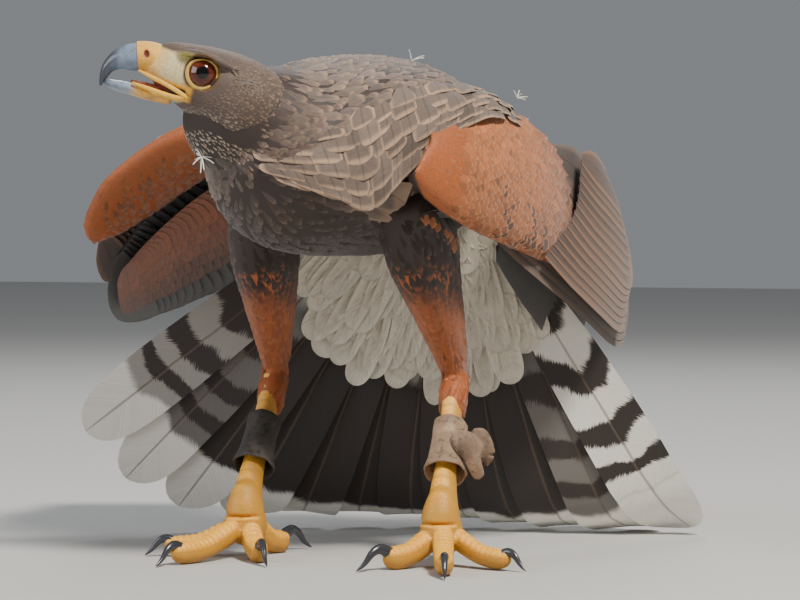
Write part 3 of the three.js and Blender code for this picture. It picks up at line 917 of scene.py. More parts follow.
FEATHER_LINE = ((-40, 8.0), (0, 8.0), (8.5, 6.3), (17.2, 5.2), (22, 5.6), (26.0, 7.0), (40, 30))
CHEEK_LINE = ((-40, -8), (0, -8.4), (4, -9.4), (6, -15.0), (16, -17.6), (26, -19.0), (40, -40))


def bare_face(points):
    """Where the head has no feathers: lore, eye ring, cere and the corners of the mouth."""
    _, x, side, z = head_parts(points)
    line = np.interp(x, *np.array(FEATHER_LINE).T)
    cheek = np.interp(x, *np.array(CHEEK_LINE).T)
    lore = (x > 6.5) & (z < line) & (z > cheek)
    eye = (np.hypot(x, z) < 8.6) & (side > 12)
    gape = (x > 2) & (z < -9.4) & (z > -14.8) & (side > 9)
    close = (side < 26) & (x < 50) & (z > -24) & (z < 20)
    return close & (lore | (x > 27) | eye | gape)


SLOTS = {
    "wing_left": "rufous_plumage",
    "wing_right": "rufous_plumage",
    "legs": "rufous_plumage",
    "tail": "tail_plumage",
}


def coat(skin, face):
    """All the small feathers: the body's on the body's skin, the head's on the head's."""
    trees = {"body": skin_tree(skin), "face": skin_tree(face)}

    def spacing_on(where):
        def spacing(points, normals):
            near = nearest_forms(points)
            kind, _ = plumage(points, normals, near)
            gap = np.sqrt(kind["length"] * kind["width"]) / COAT_OVERLAP
            head = to_head(points)[:, 0]
            under_head = (near["skull"][0] < 1.0) & (head > -27)
            outside = under_head if where == "body" else head < -30
            return np.where(bare_face(points) | outside, 0, gap)

        return spacing

    for where, obj in (("body", skin), ("face", face)):
        roots, normals = scatter(obj, spacing_on(where), ROOT_TRIES[where])
        flow, near = flow_field(roots, normals)
        flow = unit(flow + rng.normal(0, 0.07, flow.shape))
        kind, regions = plumage(roots, normals, near)
        if where == "face":
            regions = {"head": np.ones(len(roots), bool)}
        for name, chosen in regions.items():
            if chosen.any():
                title = "coat_%s_head" % where if name == "head" else "coat_" + name
                part = {key: value[chosen] for key, value in kind.items()}
                laid = roots[chosen], normals[chosen], flow[chosen]
                laid_feathers(title, trees[where], *laid, part, SLOTS.get(name, "brown_plumage"))


PATCH = (
    (-4, 202), (-14, 184), (-16, 168), (12, 153), (55, 142), (108, 134), (150, 124),
    (166, 138), (146, 166), (118, 192), (60, 224), (30, 218), (4, 211),
)
PATCH_FRONT = np.array([-12.0, 176.0])
PATCH_RUN = (-6.0, 175)
PATCH_SIDE = (-70, 80)
PATCH_BROWN = (0.12, 0.066, 0.045)
PATCH_SPOT = (0.07, 0.04, 0.034)
PATCH_MARGIN = (0.06, 0.034, 0.026)
PATCH_WAY = unit([0.91, -0.41])


def inside_outline(points, outline):
    inside = np.zeros(len(points), bool)
    px, py = points.T
    for (ax, ay), (bx, by) in zip(outline, outline[1:] + outline[:1]):
        crosses = (ay > py) != (by > py)
        inside ^= crosses & (px < ax + (py - ay) / ((by - ay) or 1e-9) * (bx - ax))
    return inside


def patch_coverts(skin):
    """The rufous coverts of the folded wing, in rows that grow larger towards the rear."""
    tree = skin_tree(skin)
    side = np.array([-PATCH_WAY[1], PATCH_WAY[0]])
    places, sizes = [], []
    run, row = PATCH_RUN[0], 0
    while run < PATCH_RUN[1]:
        share = smooth(10, 150, run)
        length, width = mixed(8.0, 25.0, share), mixed(6.2, 16.0, share)
        offset = PATCH_SIDE[0] + (row % 2) * width * 0.3
        while offset < PATCH_SIDE[1]:
            shift = rng.normal(0, 0.05, 2) * width
            places.append(PATCH_FRONT + PATCH_WAY * (run + shift[0]) + side * (offset + shift[1]))
            sizes.append((length, width, run, offset))
            offset += width * 0.62
        run += length * 0.3
        row += 1
    places, sizes = np.array(places), np.array(sizes)
    kept = inside_outline(places, PATCH)
    roots, normals, chosen = [], [], []
    for place, size in zip(places[kept], sizes[kept]):
        hit, normal, _, _ = tree.ray_cast(Vector((150, *place)), Vector((-1, 0, 0)), 110)
        if hit is not None:
            roots.append(hit)
            normals.append(normal)
            chosen.append(size)
    roots, normals, chosen = np.array(roots), unit(np.array(normals)), np.array(chosen)
    length, width, run, offset = chosen.T
    count = len(roots)
    turn = smooth(-20, 60, offset)[:, None]
    flow = mixed(np.array([0, 0.94, -0.33]), np.array([0, 0.86, -0.52]), turn)
    flow = flow + rng.normal(0, 0.035, flow.shape)
    flow = unit(flow - (flow * normals).sum(1)[:, None] * normals)
    brown = smooth(45, 130, run + 0.3 * offset) * rng.uniform(0.35, 1.0, count)
    spots = (rng.random(count) < 0.3) & (run > 22) & (run < 80) & (np.abs(offset - 4) < 16)
    margin = smooth(-22, -32, offset + rng.normal(0, 2, count)) * smooth(10, 30, run)
    tint = over(np.array(RUFOUS), PATCH_BROWN, brown)
    tint = over(tint, PATCH_SPOT, 0.8 * spots)
    tint = over(tint, PATCH_MARGIN, margin)
    # Painted light and shade: the patch is painted darker on its lower side and brighter on its upper side
    painted_light = smooth(0, 50, offset)[:, None]
    tint = tint * mixed(0.78, 1.15, painted_light) * rng.normal(1, 0.15, (count, 1))
    marked = np.maximum(np.maximum(brown, spots), margin)
    edge = np.clip(mixed(0.5, 1.0, marked) * rng.uniform(0.7, 1.2, count), 0, 1)
    kind = {
        "length": length * rng.uniform(0.92, 1.08, count),
        "width": width,
        "tint": np.clip(tint, 0, 1),
        "fringe": np.tile(RUFOUS_PALE, (count, 1)),
        "seed": np.stack([rng.random(count), edge, mixed(0.1, 0.5, brown)], 1),
        "rise": 0.7 + length * 0.07,
        "sink": np.full(count, -0.3),
        "bend": rng.normal(0, 0.02, count),
    }
    laid_feathers("coat_wing_patch", tree, roots, normals, flow, kind, "rufous_plumage")


SCAPULAR_TIERS = 6
SCAPULAR_LINES = [
    [
        [-8, -62, 203], [10, -52, 205], [24, -36, 213], [36, -12, 224],
        [44, 10, 227], [48, 40, 226], [44, 74, 220],
    ],
    [
        [0, -68, 190], [20, -58, 189], [33, -44, 191], [47, -22, 206],
        [57, 0, 215], [64, 30, 221], [60, 76, 214],
    ],
    [
        [8, -68, 180], [27, -56, 172], [36, -43, 168], [49, -25, 187],
        [60, -5, 203], [71, 20, 213], [72, 72, 206],
    ],
]


def scapulars():
    """The large shoulder feathers whose tips make the lower edge of the shawl."""
    surface = sheet(SCAPULAR_LINES, (0.8, -0.3, 0.5))
    row = Row()
    for tier in range(SCAPULAR_TIERS):
        count = 14 + tier
        for i in range(count):
            t = np.clip((i + 0.5 * (tier % 2) + rng.normal(0, 0.08)) / count, 0, 1)
            stop = 1.0 - 0.15 * (SCAPULAR_TIERS - 1 - tier) + rng.uniform(-0.05, 0.012)
            row.add(
                surface,
                t,
                17.5 + rng.normal(0, 1.2),
                3.6 - 0.75 * tier + 0.9 * (i % 2) + rng.normal(0, 0.2),
                max(0.0, stop - 0.4),
                stop,
                np.array(MANTLE_BROWN) * rng.uniform(0.55, 1.1),
                np.array(BUFF) * rng.uniform(0.8, 1.05),
                [rng.random(), rng.uniform(0.5, 0.95), 0.6],
                1.5,
            )
    row.mesh("scapulars", "brown_plumage")


# Flight and tail feathers on curved sheets


def sheet(lines, outside):
    """A curved surface through lines, which gives place, normal and span for each t and d."""
    curves = [curve(points) for points in lines]
    outside = np.asarray(outside, float)

    def reached(c, t):
        held = np.clip(t, 0, 1)
        high_t, low_t = np.minimum(held + 0.01, 1), np.maximum(held - 0.01, 0)
        slope = (c(high_t) - c(low_t)) / (high_t - low_t)[:, None]
        return c(held) + slope * (t - held)[:, None]

    def point(t, d):
        rows = np.stack([reached(c, t) for c in curves], 1)
        return along_rows(rows, d)

    def at(t, d):
        t, d = (a.ravel() for a in np.broadcast_arrays(t, d))
        across = (point(t + 0.01, d) - point(t - 0.01, d)) / 0.02
        high_d, low_d = np.minimum(d + 0.02, 1), np.maximum(d - 0.02, 0)
        down = point(t, high_d) - point(t, low_d)
        normal = unit(np.cross(across, down))
        normal = np.where((normal @ outside)[:, None] < 0, -normal, normal)
        return point(t, d), normal, np.linalg.norm(across, axis=1)

    return at


FLIGHT_ROWS = np.array([0, 0.12, 0.26, 0.4, 0.52, 0.64, 0.74, 0.82, 0.885, 0.93, 0.965, 0.985, 1.0])
FLIGHT_WIDE = np.array([0.34, 0.62, 0.86, 0.96, 1, 1, 0.99, 0.95, 0.86, 0.74, 0.56, 0.38, 0.1])
FLIGHT_COLUMNS = np.linspace(-1, 1, 7)


class Row:
    """Long feathers gathered for one mesh."""

    def __init__(self):
        self.vanes, self.tints, self.fringes, self.seeds = [], [], [], []

    def add(self, surface, t, width, level, start, end, tint, fringe, seed, cup=0.8):
        self.vanes.append((surface, t, width, level, start, end, cup))
        self.tints.append(np.asarray(tint, float))
        self.fringes.append(np.asarray(fringe, float))
        self.seeds.append(seed)

    def grids(self):
        made = []
        surfaces = list(dict.fromkeys(vane[0] for vane in self.vanes))
        order = [i for f in surfaces for i, vane in enumerate(self.vanes) if vane[0] is f]
        for surface in surfaces:
            group = np.array([vane[1:] for vane in self.vanes if vane[0] is surface])
            t, width, level, start, end, cup = (a[:, None, None] for a in group.T)
            d = start + (end - start) * FLIGHT_ROWS[None, :, None]
            shape = (len(group), len(FLIGHT_ROWS), len(FLIGHT_COLUMNS))
            _, _, span = surface(t + d * 0, d)
            span = span.reshape(shape[0], shape[1], 1)
            shift = FLIGHT_COLUMNS * (FLIGHT_WIDE[None, :, None] * width / 2) / span
            place, normal, _ = surface(t + shift, d + shift * 0)
            lift = level + cup * (0.5 - FLIGHT_COLUMNS**2) * FLIGHT_WIDE[None, :, None]
            lift = np.broadcast_to(lift, shape)[..., None]
            made.append(place.reshape(*shape, 3) + normal.reshape(*shape, 3) * lift)
        return np.concatenate(made), order

    def mesh(self, name, slot):
        grid, order = self.grids()
        tint, fringe, seed = (
            np.array(values)[order] for values in (self.tints, self.fringes, self.seeds)
        )
        return feather_mesh(name, grid, tint, fringe, seed, grid[:, 0, 3], slot, FLIGHT_ROWS)


def tail_place(angle, distance):
    """A place on the fan of the tail, whose end is laid along the floor."""
    c, s = math.cos(TAIL_TURN), math.sin(TAIL_TURN)

    def turned(x, y, z):
        return np.array([x * c - y * s, x * s + y * c, z])

    down = turned(
        -math.sin(TAIL_ROLL),
        math.sin(TAIL_SLANT) * math.cos(TAIL_ROLL),
        -math.cos(TAIL_SLANT) * math.cos(TAIL_ROLL),
    )
    across = turned(
        math.cos(TAIL_ROLL),
        math.sin(TAIL_SLANT) * math.sin(TAIL_ROLL),
        -math.cos(TAIL_SLANT) * math.sin(TAIL_ROLL),
    )
    a = math.radians(angle)
    p = TAIL_ROOT + down * distance * math.cos(a) + across * distance * math.sin(a)
    laid = TAIL_FLOOR + TAIL_BEND * np.logaddexp(0, (p[2] - TAIL_FLOOR) / TAIL_BEND)
    p[1] += 0.85 * (laid - p[2])
    p[2] = laid
    return p


def tail_sheet():
    turns = TAIL_SHEET_WIDER * (np.arange(9) - 4) / 4
    shares = (0.06, 0.4, 0.7, 0.85, 1)
    lines = [
        [tail_place(turn * TAIL_SPREAD, TAIL_REACH * share) for turn in turns]
        for share in shares
    ]
    return sheet(lines, (0, 1, 0))


def tail_material():
    """White at the base and tip with a wide dark band, the outer feathers barred."""
    made, n = material("tail_feather", 0.65, Sheen_Weight=0.15)
    u, along = n.map_parts("Vane")
    across = n.from_middle(u)
    chance, white_base, barred = n.parts(n.attribute("Seed"), "SeparateColor")
    slant = n.minus(n.times(along, 120.0), n.times(across, 14.0))
    barbs = n.vector(slant, 0.0, n.times(chance, 50.0))
    strands = n.noise(2.2, 2.0, barbs, 0.55)
    broad = n.noise(38, 3.0)
    wander = n.plus(n.times(n.minus(strands, 0.5), 0.05), n.times(n.minus(broad, 0.5), 0.12))
    level = n.plus(along, wander)
    level = n.plus(level, n.times(across, 0.035))
    start = n.between(level, n.minus(white_base, 0.03), n.plus(white_base, 0.03))
    stop = n.between(level, 0.7, 0.73)
    band = n.times(start, n.minus(1.0, stop))
    bars = n.math("SINE", n.times(level, 44.0))
    bar = n.between(bars, -0.15, 0.35)
    broken = n.mix(barred, (1, 1, 1), bar)
    dark = n.times(band, broken)
    base = n.attribute("Tint")
    ink = n.attribute("Fringe")
    whole = n.mix(dark, base, ink)
    shade = n.mix(n.times(n.between(strands, 0.3, 0.8), 0.15), whole, (0.04, 0.03, 0.024))
    shaft = n.minus(1.0, n.between(across, 0.015, 0.06))
    n.colour(n.mix(n.times(shaft, 0.5), shade, (0.12, 0.08, 0.05)))
    n.bump(n.plus(n.times(strands, 0.5), shaft), 0.5, 0.0007)
    return made


def tail():
    """The tail feathers, each a little under the one nearer the middle."""
    surface = tail_sheet()
    row = Row()
    last = TAIL_FEATHERS - 1
    for i in range(TAIL_FEATHERS):
        share = (2 * i) / last - 1
        rank = round((abs(share) * last - 1) / 2)
        level = -(2 * rank + (1 if share > 0 else 0)) * 0.92
        outer = abs(share) > 0.95
        near_outer = 0.75 < abs(share) < 0.95
        start = 0.16 if outer else 0.2 if near_outer else 0.24
        barred = (0.9 if share > 0 else 0.35) if outer else 0.15 if near_outer else 0.0
        row.add(
            surface,
            (share / TAIL_SHEET_WIDER + 1) / 2,
            35 + rng.normal(0, 0.8),
            level,
            0.1,
            rng.uniform(0.965, 1.0),
            np.array(TAIL_WHITE) * rng.uniform(0.94, 1.0),
            np.array(BLACK_BROWN) * rng.uniform(0.8, 1.3),
            [rng.random(), start, barred],
        )
    made = row.mesh("tail_feathers", "tail_plumage")
    made.data.materials[0] = tail_material()
    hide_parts("tail")
    tail_coverts(surface)


def tail_coverts(surface):
    """Soft pale coverts over the roots of the tail, under it and above it."""
    row = Row()
    for face, lift in ((-1, -12.0), (1, 2.5)):
        for tier in range(TAIL_COVERT_TIERS):
            end = mixed(0.08, 0.33 if face < 0 else 0.3, tier / (TAIL_COVERT_TIERS - 1))
            count = 12 + 3 * tier
            for i in range(count):
                t = (i + rng.uniform(-0.3, 0.3)) / (count - 1) * 0.84 + 0.08
                stop = end * rng.uniform(0.88, 1.1) - 0.07 * (2 * t - 1) ** 2
                start = max(0.0, stop - 0.16)
                tint = np.array(CREAM) * rng.uniform(0.85, 1.02)
                row.add(
                    surface,
                    t,
                    rng.uniform(12, 18),
                    lift + face * (TAIL_COVERT_TIERS - 1 - tier) * 0.55 + rng.normal(0, 0.35),
                    start,
                    stop,
                    tint,
                    COVERT_FRINGE,
                    [rng.random(), 0.35, 0.0],
                    1.6,
                )
    row.mesh("tail_coverts", "tail_plumage")


PRIMARY_LINES = [
    [[76, 42, 150], [74, 46, 160], [70, 50, 170]],
    [[62, 140, 118], [64, 140, 130], [64, 140, 142]],
    [[30, 252, 88], [38, 250, 98], [46, 248, 108]],
]
SECONDARY_LINES = [
    [[66, 10, 172], [70, 50, 184], [64, 92, 200]],
    [[82, 105, 134], [78, 125, 156], [68, 135, 186]],
    [[70, 212, 104], [68, 212, 128], [63, 188, 162]],
]
LEFT_COVERT_LINES = [
    SECONDARY_LINES[0],
    [[84, 105, 134], [81, 125, 156], [71, 135, 186]],
    [[72, 212, 104], [70, 212, 128], [65, 188, 162]],
]
RIGHT_LINES = [
    [[-142, 26, 150], [-128, 26, 162], [-100, 26, 182], [-62, 26, 202]],
    [[-176, 100, 128], [-158, 102, 137], [-118, 104, 156], [-68, 106, 172]],
    [[-205, 170, 112], [-178, 176, 118], [-136, 184, 130], [-80, 185, 140]],
]
UNDER_COVERT_TIERS = 5
Tier = namedtuple(
    "Tier",
    "lines count width level end tint fringe edge start short step cup",
    defaults=(0.0, 0.0, 0.62, 0.8),
)


def under_coverts(k):
    """One of the rows of small rufous feathers under the open wing."""
    level = -9 - 0.7 * (UNDER_COVERT_TIERS - 1 - k)
    # The under coverts are rufous; the rows further back under the wing are painted darker, as painted shade
    tint = np.array(TROUSER) * (0.85 - 0.12 * k)
    fringe = np.array(RUFOUS) * 0.6
    return Tier(RIGHT_LINES, 26, 15, level, 0.22 + 0.1 * k, tint, fringe, 0.25, 0.08 * k, step=0.1, cup=0.25)


WING_TIERS = {
    "left": [
        Tier(PRIMARY_LINES, 10, 25, -12, 1.0, BLACK_BROWN, DARK_WING, 0.3, short=0.16),
        Tier(SECONDARY_LINES, 13, 30, -4, 1.0, (0.058, 0.038, 0.03), (0.24, 0.15, 0.095), 0.4),
        Tier(LEFT_COVERT_LINES, 14, 24, 1.5, 0.84, (0.085, 0.048, 0.034), (0.33, 0.16, 0.08), 0.5, 0.3),
    ],
    "right": [
        Tier(RIGHT_LINES, 21, 26, -5, 0.94, BLACK_BROWN, DARK_WING, 0.25, step=0.45),
        Tier(RIGHT_LINES, 20, 20, 7, 0.52, (0.16, 0.065, 0.032), (0.4, 0.16, 0.07), 0.5),
        *[under_coverts(k) for k in range(UNDER_COVERT_TIERS)],
    ],
}
WING_OUTSIDE = {"left": (1, 0, 0.2), "right": (-0.4, 0, 0.9)}


def wing(side):
    """The flight feathers of one wing and the larger coverts over their bases."""
    row = Row()
    for tier in WING_TIERS[side]:
        surface = sheet(tier.lines, WING_OUTSIDE[side])
        for i in range(tier.count):
            t = i / (tier.count - 1)
            row.add(
                surface,
                t,
                tier.width,
                tier.level + i * tier.step,
                tier.start,
                tier.end - tier.short * t + rng.uniform(-0.012, 0.004),
                np.array(tier.tint) * rng.uniform(0.8, 1.25),
                np.array(tier.fringe) * rng.uniform(0.85, 1.1),
                [rng.random(), tier.edge, 0.6],
                tier.cup,
            )
    made = row.mesh("wing_feathers_" + side, "rufous_plumage")
    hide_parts("wing_" + side)


# Head details

YELLOW = (0.8, 0.43, 0.06)
GAPE = (0.85, 0.46, 0.05)
LORE = (0.62, 0.52, 0.27)
BILL_BLUE = (0.2, 0.26, 0.36)
BILL_TIP = (0.028, 0.032, 0.042)
# The paler blue painted at the base of the bill stands for its sheen: painted highlight
BILL_BASE_SHEEN = (0.32, 0.36, 0.42)
LOWER_BILL_BLUE = (0.24, 0.29, 0.37)
LORE_GREEN = (0.36, 0.31, 0.07)
EYE_RING = (0.12, 0.06, 0.02)
MOUTH_RED = (0.17, 0.022, 0.014)
TONGUE_RED = (0.34, 0.09, 0.06)
NOSTRIL_RIM = (0.8, 0.3, 0.04)
NOSTRIL_SHADE = (0.13, 0.012, 0.006)
LID_YELLOW = (0.62, 0.4, 0.09)


def head_form(stations, around=48, along=40, grow=0.0):
    return limb(stations, (0, 1, 0), around, along, grow)


def in_head(name, verts, faces, mat):
    return closed(piece(name, from_head(verts), faces, mat))


def head_skin():
    """The bare skin of the face and the form under the head's feathers, with brows and eye sockets."""
    forms = [head_form(SKULL, grow=-1.0)]
    for sign in (1, -1):
        brow = [
            [15, sign * 10, 5.5, 1, 1, 1],
            [9, sign * 15.4, 7.2, 3.0, 1.7, 1.7],
            [1, sign * 19.0, 8.0, 3.2, 1.8, 1.6],
            [-7, sign * 19.4, 6.8, 3.0, 1.8, 1.7],
            [-14, sign * 18, 5, 1, 1, 1],
        ]
        forms.append(head_form(brow, around=20, along=20))
    skin = fused("skin_head", [(from_head(v), f) for v, f in forms], SKIN, FACE_VOXEL, rounds=8)
    h, x, side, z = head_parts(points_of(skin))
    mouth = smooth(4, 8, x) * smooth(-14.4, -13.2, z) * smooth(-9.4, -10.6, z)
    h[:, 1] *= 1 - 0.4 * mouth
    socket = np.hypot(x - 0.2, z + 0.2)
    h[:, 1] *= 1 - 0.2 * (side > 10) * smooth(8.0, 6.8, socket)
    set_points(skin, from_head(h))
    line = np.interp(x, *np.array(FEATHER_LINE).T)
    cheek = np.interp(x, *np.array(CHEEK_LINE).T)
    lore = smooth(3, 8, x) * smooth(1.5, -0.5, z - line) * smooth(-1.5, 0.5, z - cheek)
    ring = (side > 10) * smooth(9.6, 8.4, socket)
    rim = smooth(1, 4, x) * smooth(-15.6, -14.6, z) * smooth(-7.0, -9.0, z) * (side > 7)
    green = np.hypot((x - 9.5) / 4, (z - 5) / 2.4)
    colour = np.tile(HEAD_BROWN, (len(h), 1)) * 0.7
    warm = lore * smooth(16, 24, x)
    colour = over(colour, LORE, lore)
    colour = over(colour, LORE_GREEN, smooth(1.3, 0.6, green) * 0.8)
    colour = over(colour, YELLOW, warm * 0.7)
    colour = over(colour, EYE_RING, ring)
    colour = over(colour, GAPE, rim)
    colour = over(colour, MOUTH_RED, mouth)
    paint(skin, "Tint", colour)
    return skin


BILL = [
    [20, 0, 0.5, 5, 5, 5],
    [27, 0, 0.2, 8, 6.8, 7],
    [31, 0, -0.8, 7.6, 6.8, 6.6],
    [35.7, 0, -2.7, 6.6, 6.6, 6.4],
    [40.5, 0, -5.3, 5, 5.2, 4.8],
    [43.9, 0, -9.3, 3.4, 3.3, 3.1],
    [45, 0, -14, 2, 2.1, 1.9],
    [45.4, 0, -19, 0.5, 0.5, 0.5],
]
LOWER_BILL = [
    [12, 0, -15.8, 5, 2, 2.5],
    [24, 0, -16.0, 7, 2.9, 3.2],
    [31, 0, -16.0, 5.8, 2.9, 3.1],
    [38, 0, -16.6, 4.3, 2.4, 2.6],
    [42.5, 0, -16.7, 2.8, 1.7, 1.7],
    [44.2, 0, -16.6, 0.6, 0.5, 0.5],
]


CERE_FRONT = np.array([0.924, 0, -0.382])


def upper_bill():
    verts, faces = head_form(BILL, around=56, along=60)
    horn = in_head("bill_upper_horn", verts, faces, HORN)
    h = to_head(points_of(horn))
    hidden = smooth(0, -1.5, h @ CERE_FRONT - 29.2)
    h[:, 1] *= 1 - 0.3 * hidden
    h[:, 2] = mixed(h[:, 2], 0.8 * h[:, 2] - 0.4, hidden)
    set_points(horn, from_head(h))
    # Painted shade: the bill is painted a fifth darker on its underside
    under = smooth(-0.4, -1.0, np.sin(np.arctan2(h[:, 2] + 6, 8)))
    dark = np.maximum(smooth(38, 45, h[:, 0]), smooth(-8, -17, h[:, 2]))
    colour = over(np.array(BILL_BLUE), BILL_TIP, dark * 0.9)
    # Paler towards the base of the bill: a painted sheen, a painted highlight
    colour = over(colour, BILL_BASE_SHEEN, smooth(34, 28, h[:, 0]) * 0.6)
    paint(horn, "Tint", colour * (1 - 0.2 * under[:, None]))
    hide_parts("bill_upper")


def cere():
    """The yellow skin over the base of the bill, with its nostrils."""
    over_bill = [[x, y, z, w + 0.6, a + 0.6, b + 0.4] for x, y, z, w, a, b in BILL[1:4]]
    stations = [
        [14, 0, -1, 5, 6, 5],
        [20, 0, -0.8, 8.6, 8.6, 8],
        *over_bill,
        [36.5, 0, -3.1, 1, 1, 1],
    ]
    verts, faces = head_form(stations, around=96, along=90)
    verts = verts - np.clip(verts @ CERE_FRONT - 30, 0, None)[:, None] * CERE_FRONT
    skin = in_head("cere_skin", verts, faces, SKIN)
    h, x, side, z = head_parts(points_of(skin))
    tilt = 0.5
    away_x, away_z = x - 28.2, z - 1.2
    gap = np.hypot(
        (away_x * math.cos(tilt) - away_z * math.sin(tilt)) / 1.25,
        (away_x * math.sin(tilt) + away_z * math.cos(tilt)) / 1.8,
    )
    hole = smooth(1.1, 0.7, gap) * (side > 4)
    h[:, 1] -= np.sign(h[:, 1]) * 1.1 * hole
    set_points(skin, from_head(h))
    pale = smooth(25, 20, x + 0.5 * z)
    rim = smooth(1.9, 1.2, gap) * (side > 4)
    # Painted shade: the inside of each nostril is painted dark, as the shade in the hole
    inside = smooth(1.15, 0.9, gap) * (side > 3)
    colour = over(np.array(YELLOW), LORE, pale)
    colour = over(colour, NOSTRIL_RIM, rim * 0.7)
    colour = over(colour, NOSTRIL_SHADE, inside)
    paint(skin, "Tint", colour)
    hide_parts("cere")


def lower_bill():
    verts, faces = head_form(LOWER_BILL, around=40, along=48)
    verts[:, 2] = np.where(verts[:, 2] > -14, -14 + (verts[:, 2] + 14) * 0.5, verts[:, 2])
    horn = in_head("bill_lower_horn", verts, faces, HORN)
    h = to_head(points_of(horn))
    colour = over(np.array(LOWER_BILL_BLUE), YELLOW, smooth(33, 26, h[:, 0]))
    colour = over(colour, BILL_TIP, smooth(38, 44, h[:, 0]) * 0.7)
    paint(horn, "Tint", colour)
    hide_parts("bill_lower")


def gape():
    """The thick yellow rims at the corners of the mouth, above and below the gap."""
    forms = []
    for sign in (1, -1):
        upper = [
            [29.5, sign * 7.4, -7.2, 0.4, 0.5, 0.5],
            [24, sign * 9.4, -8.2, 0.8, 0.9, 0.9],
            [16, sign * 12.8, -9.7, 0.9, 1.1, 1.0],
            [9, sign * 15.6, -11.4, 1.0, 1.1, 1.0],
            [5.2, sign * 17.0, -12.6, 1.0, 1.0, 1.0],
            [3.6, sign * 17.3, -13.2, 0.4, 0.4, 0.4],
        ]
        lower = [
            [31, sign * 6.0, -13.6, 0.5, 0.6, 0.6],
            [24, sign * 8.4, -13.9, 1.0, 1.0, 1.1],
            [16, sign * 12.0, -14.3, 1.2, 1.1, 1.5],
            [9, sign * 15.2, -14.3, 1.2, 1.1, 1.5],
            [4.6, sign * 17.0, -13.4, 0.7, 0.7, 0.8],
        ]
        forms += [head_form(upper, around=20, along=28), head_form(lower, around=20, along=28)]
    verts, faces = joined(forms)
    rims = in_head("gape_rims", verts, faces, SKIN)
    paint(rims, "Tint", GAPE)


def tongue():
    stations = [
        [12, 0, -12.6, 2, 0.8, 0.8],
        [17, 0, -12.2, 3.2, 1.1, 1.1],
        [26, 0, -12.3, 3.0, 1.0, 1.1],
        [31, 0, -12.6, 1.8, 0.7, 0.8],
        [32.4, 0, -12.8, 0.4, 0.4, 0.4],
    ]
    verts, faces = head_form(stations, around=24, along=24)
    made = in_head("tongue_flesh", verts, faces, SKIN)
    paint(made, "Tint", TONGUE_RED)
    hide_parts("tongue")


def eyes():
    """The eyeballs, with a clear bulge in front and a map for the iris."""
    for side, sign in (("left", 1), ("right", -1)):
        verts = []
        rings, around = 40, 64
        polar = np.linspace(0, np.pi, rings + 1)
        for a in polar:
            for i in range(around):
                b = 2 * np.pi * i / around
                bulge = 1 + 0.035 * math.exp(-((a / 0.5) ** 2))
                verts.append(
                    [
                        EYE_RADIUS * math.sin(a) * math.cos(b),
                        sign * (EYE_OUT + EYE_RADIUS * bulge * math.cos(a)),
                        EYE_RADIUS * math.sin(a) * math.sin(b),
                    ]
                )
        ball = in_head("eyeball_" + side, verts, quads(rings + 1, around), EYE)
        a = np.repeat(polar, around)
        b = np.tile(np.arange(around) / around, rings + 1)
        radius = np.clip(np.sin(a), 0, 1) * (a < np.pi / 2) + (a >= np.pi / 2)
        map_uv(ball, "Iris", np.stack([radius, b], 1))
        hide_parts("eye_" + side)


def lids():
    """The two rims of skin that meet round each eye."""
    forms = []
    around, tube = 72, 14
    wide = 7.0
    for sign in (1, -1):
        verts = []
        for i in range(around):
            a = 2 * math.pi * i / around
            high_side = 6.9 - 0.9 * max(0, math.sin(a + 0.3)) ** 2
            thick = 0.85 - 0.25 * math.sin(a)
            for j in range(tube):
                b = 2 * math.pi * j / tube
                reach = thick * math.cos(b)
                verts.append(
                    [
                        0.2 + (wide + reach) * math.cos(a),
                        sign * (17.6 + 0.3 * math.sin(a) + thick * 1.1 * math.sin(b)),
                        -0.2 + (high_side + reach) * math.sin(a),
                    ]
                )
        forms.append((np.array(verts), quads(around, tube, loop=True)))
    verts, faces = joined(forms)
    made = in_head("eyelids", verts, faces, SKIN)
    paint(made, "Tint", LID_YELLOW)


# Legs and feet

FOOT_YELLOW = (0.98, 0.5, 0.05)
FOOT_PALE = (0.98, 0.56, 0.16)
CLAW_GREY = (0.035, 0.038, 0.046)
TARSUS_SCUTES = 13
TOE_SCUTE = 3.1
TOES = {
    "inner": (-52, 33, 4.9, 23),
    "middle": (0, 50, 4.7, 20),
    "outer": (50, 38, 4.2, 16),
    "hind": (180, 27, 5, 25),
}


def toe_way(side, toe):
    out = 1 if side == "left" else -1
    a = math.radians(FOOT_TURN[side] + out * TOES[toe][0])
    return np.array([math.sin(a), -math.cos(a), 0.0])


def toe_place(side, toe, distance, z):
    fx, fy = FEET[side]
    return np.array([fx, fy + 1, z]) + toe_way(side, toe) * distance


def toe_form(side, toe):
    _, reach, thick, _ = TOES[toe]
    rows = [
        (0, 17, 0.4, 0.4),
        (0.08, 16, 1, 1.1),
        (0.35, 10.5, 1.08, 1.1),
        (0.6, 6.4, 1, 1.05),
        (0.85, 5, 0.98, 1.1),
        (1.0, 5.2, 0.8, 0.86),
        (1.07, 5.2, 0.3, 0.3),
    ]
    stations = [
        [*toe_place(side, toe, reach * share, z), w * thick, h * thick, h * thick]
        for share, z, w, h in rows
    ]
    across = np.cross([0, 0, 1], toe_way(side, toe))
    return limb(stations, across, 28, 60, floor=0.0)


def tarsus_form(side):
    hx, hy, hz = HEELS[side]
    fx, fy = FEET[side]

    def at(t, *size):
        return [mixed(hx, fx, t), mixed(hy, fy, t), mixed(hz, FOOT_HEIGHT, t), *size]

    stations = [
        at(0, 2, 2, 2),
        at(0.08, 6, 6.5, 6.5),
        at(0.3, 5.2, 6, 6),
        at(0.7, 5.2, 6.2, 6.2),
        at(0.9, 6.6, 6.6, 7),
        [fx, fy, FOOT_HEIGHT - 5, 8.6, 8.4, 8.4],
        [fx, fy + 1, FOOT_HEIGHT - 14, 10, 10, 10],
        [fx, fy + 1, FOOT_HEIGHT - 22, 7, 7, 7],
        [fx, fy + 1, FOOT_HEIGHT - 24, 2, 2, 2],
    ]
    return limb(stations, (1, 0, 0), 36, 60, grow=-0.2)


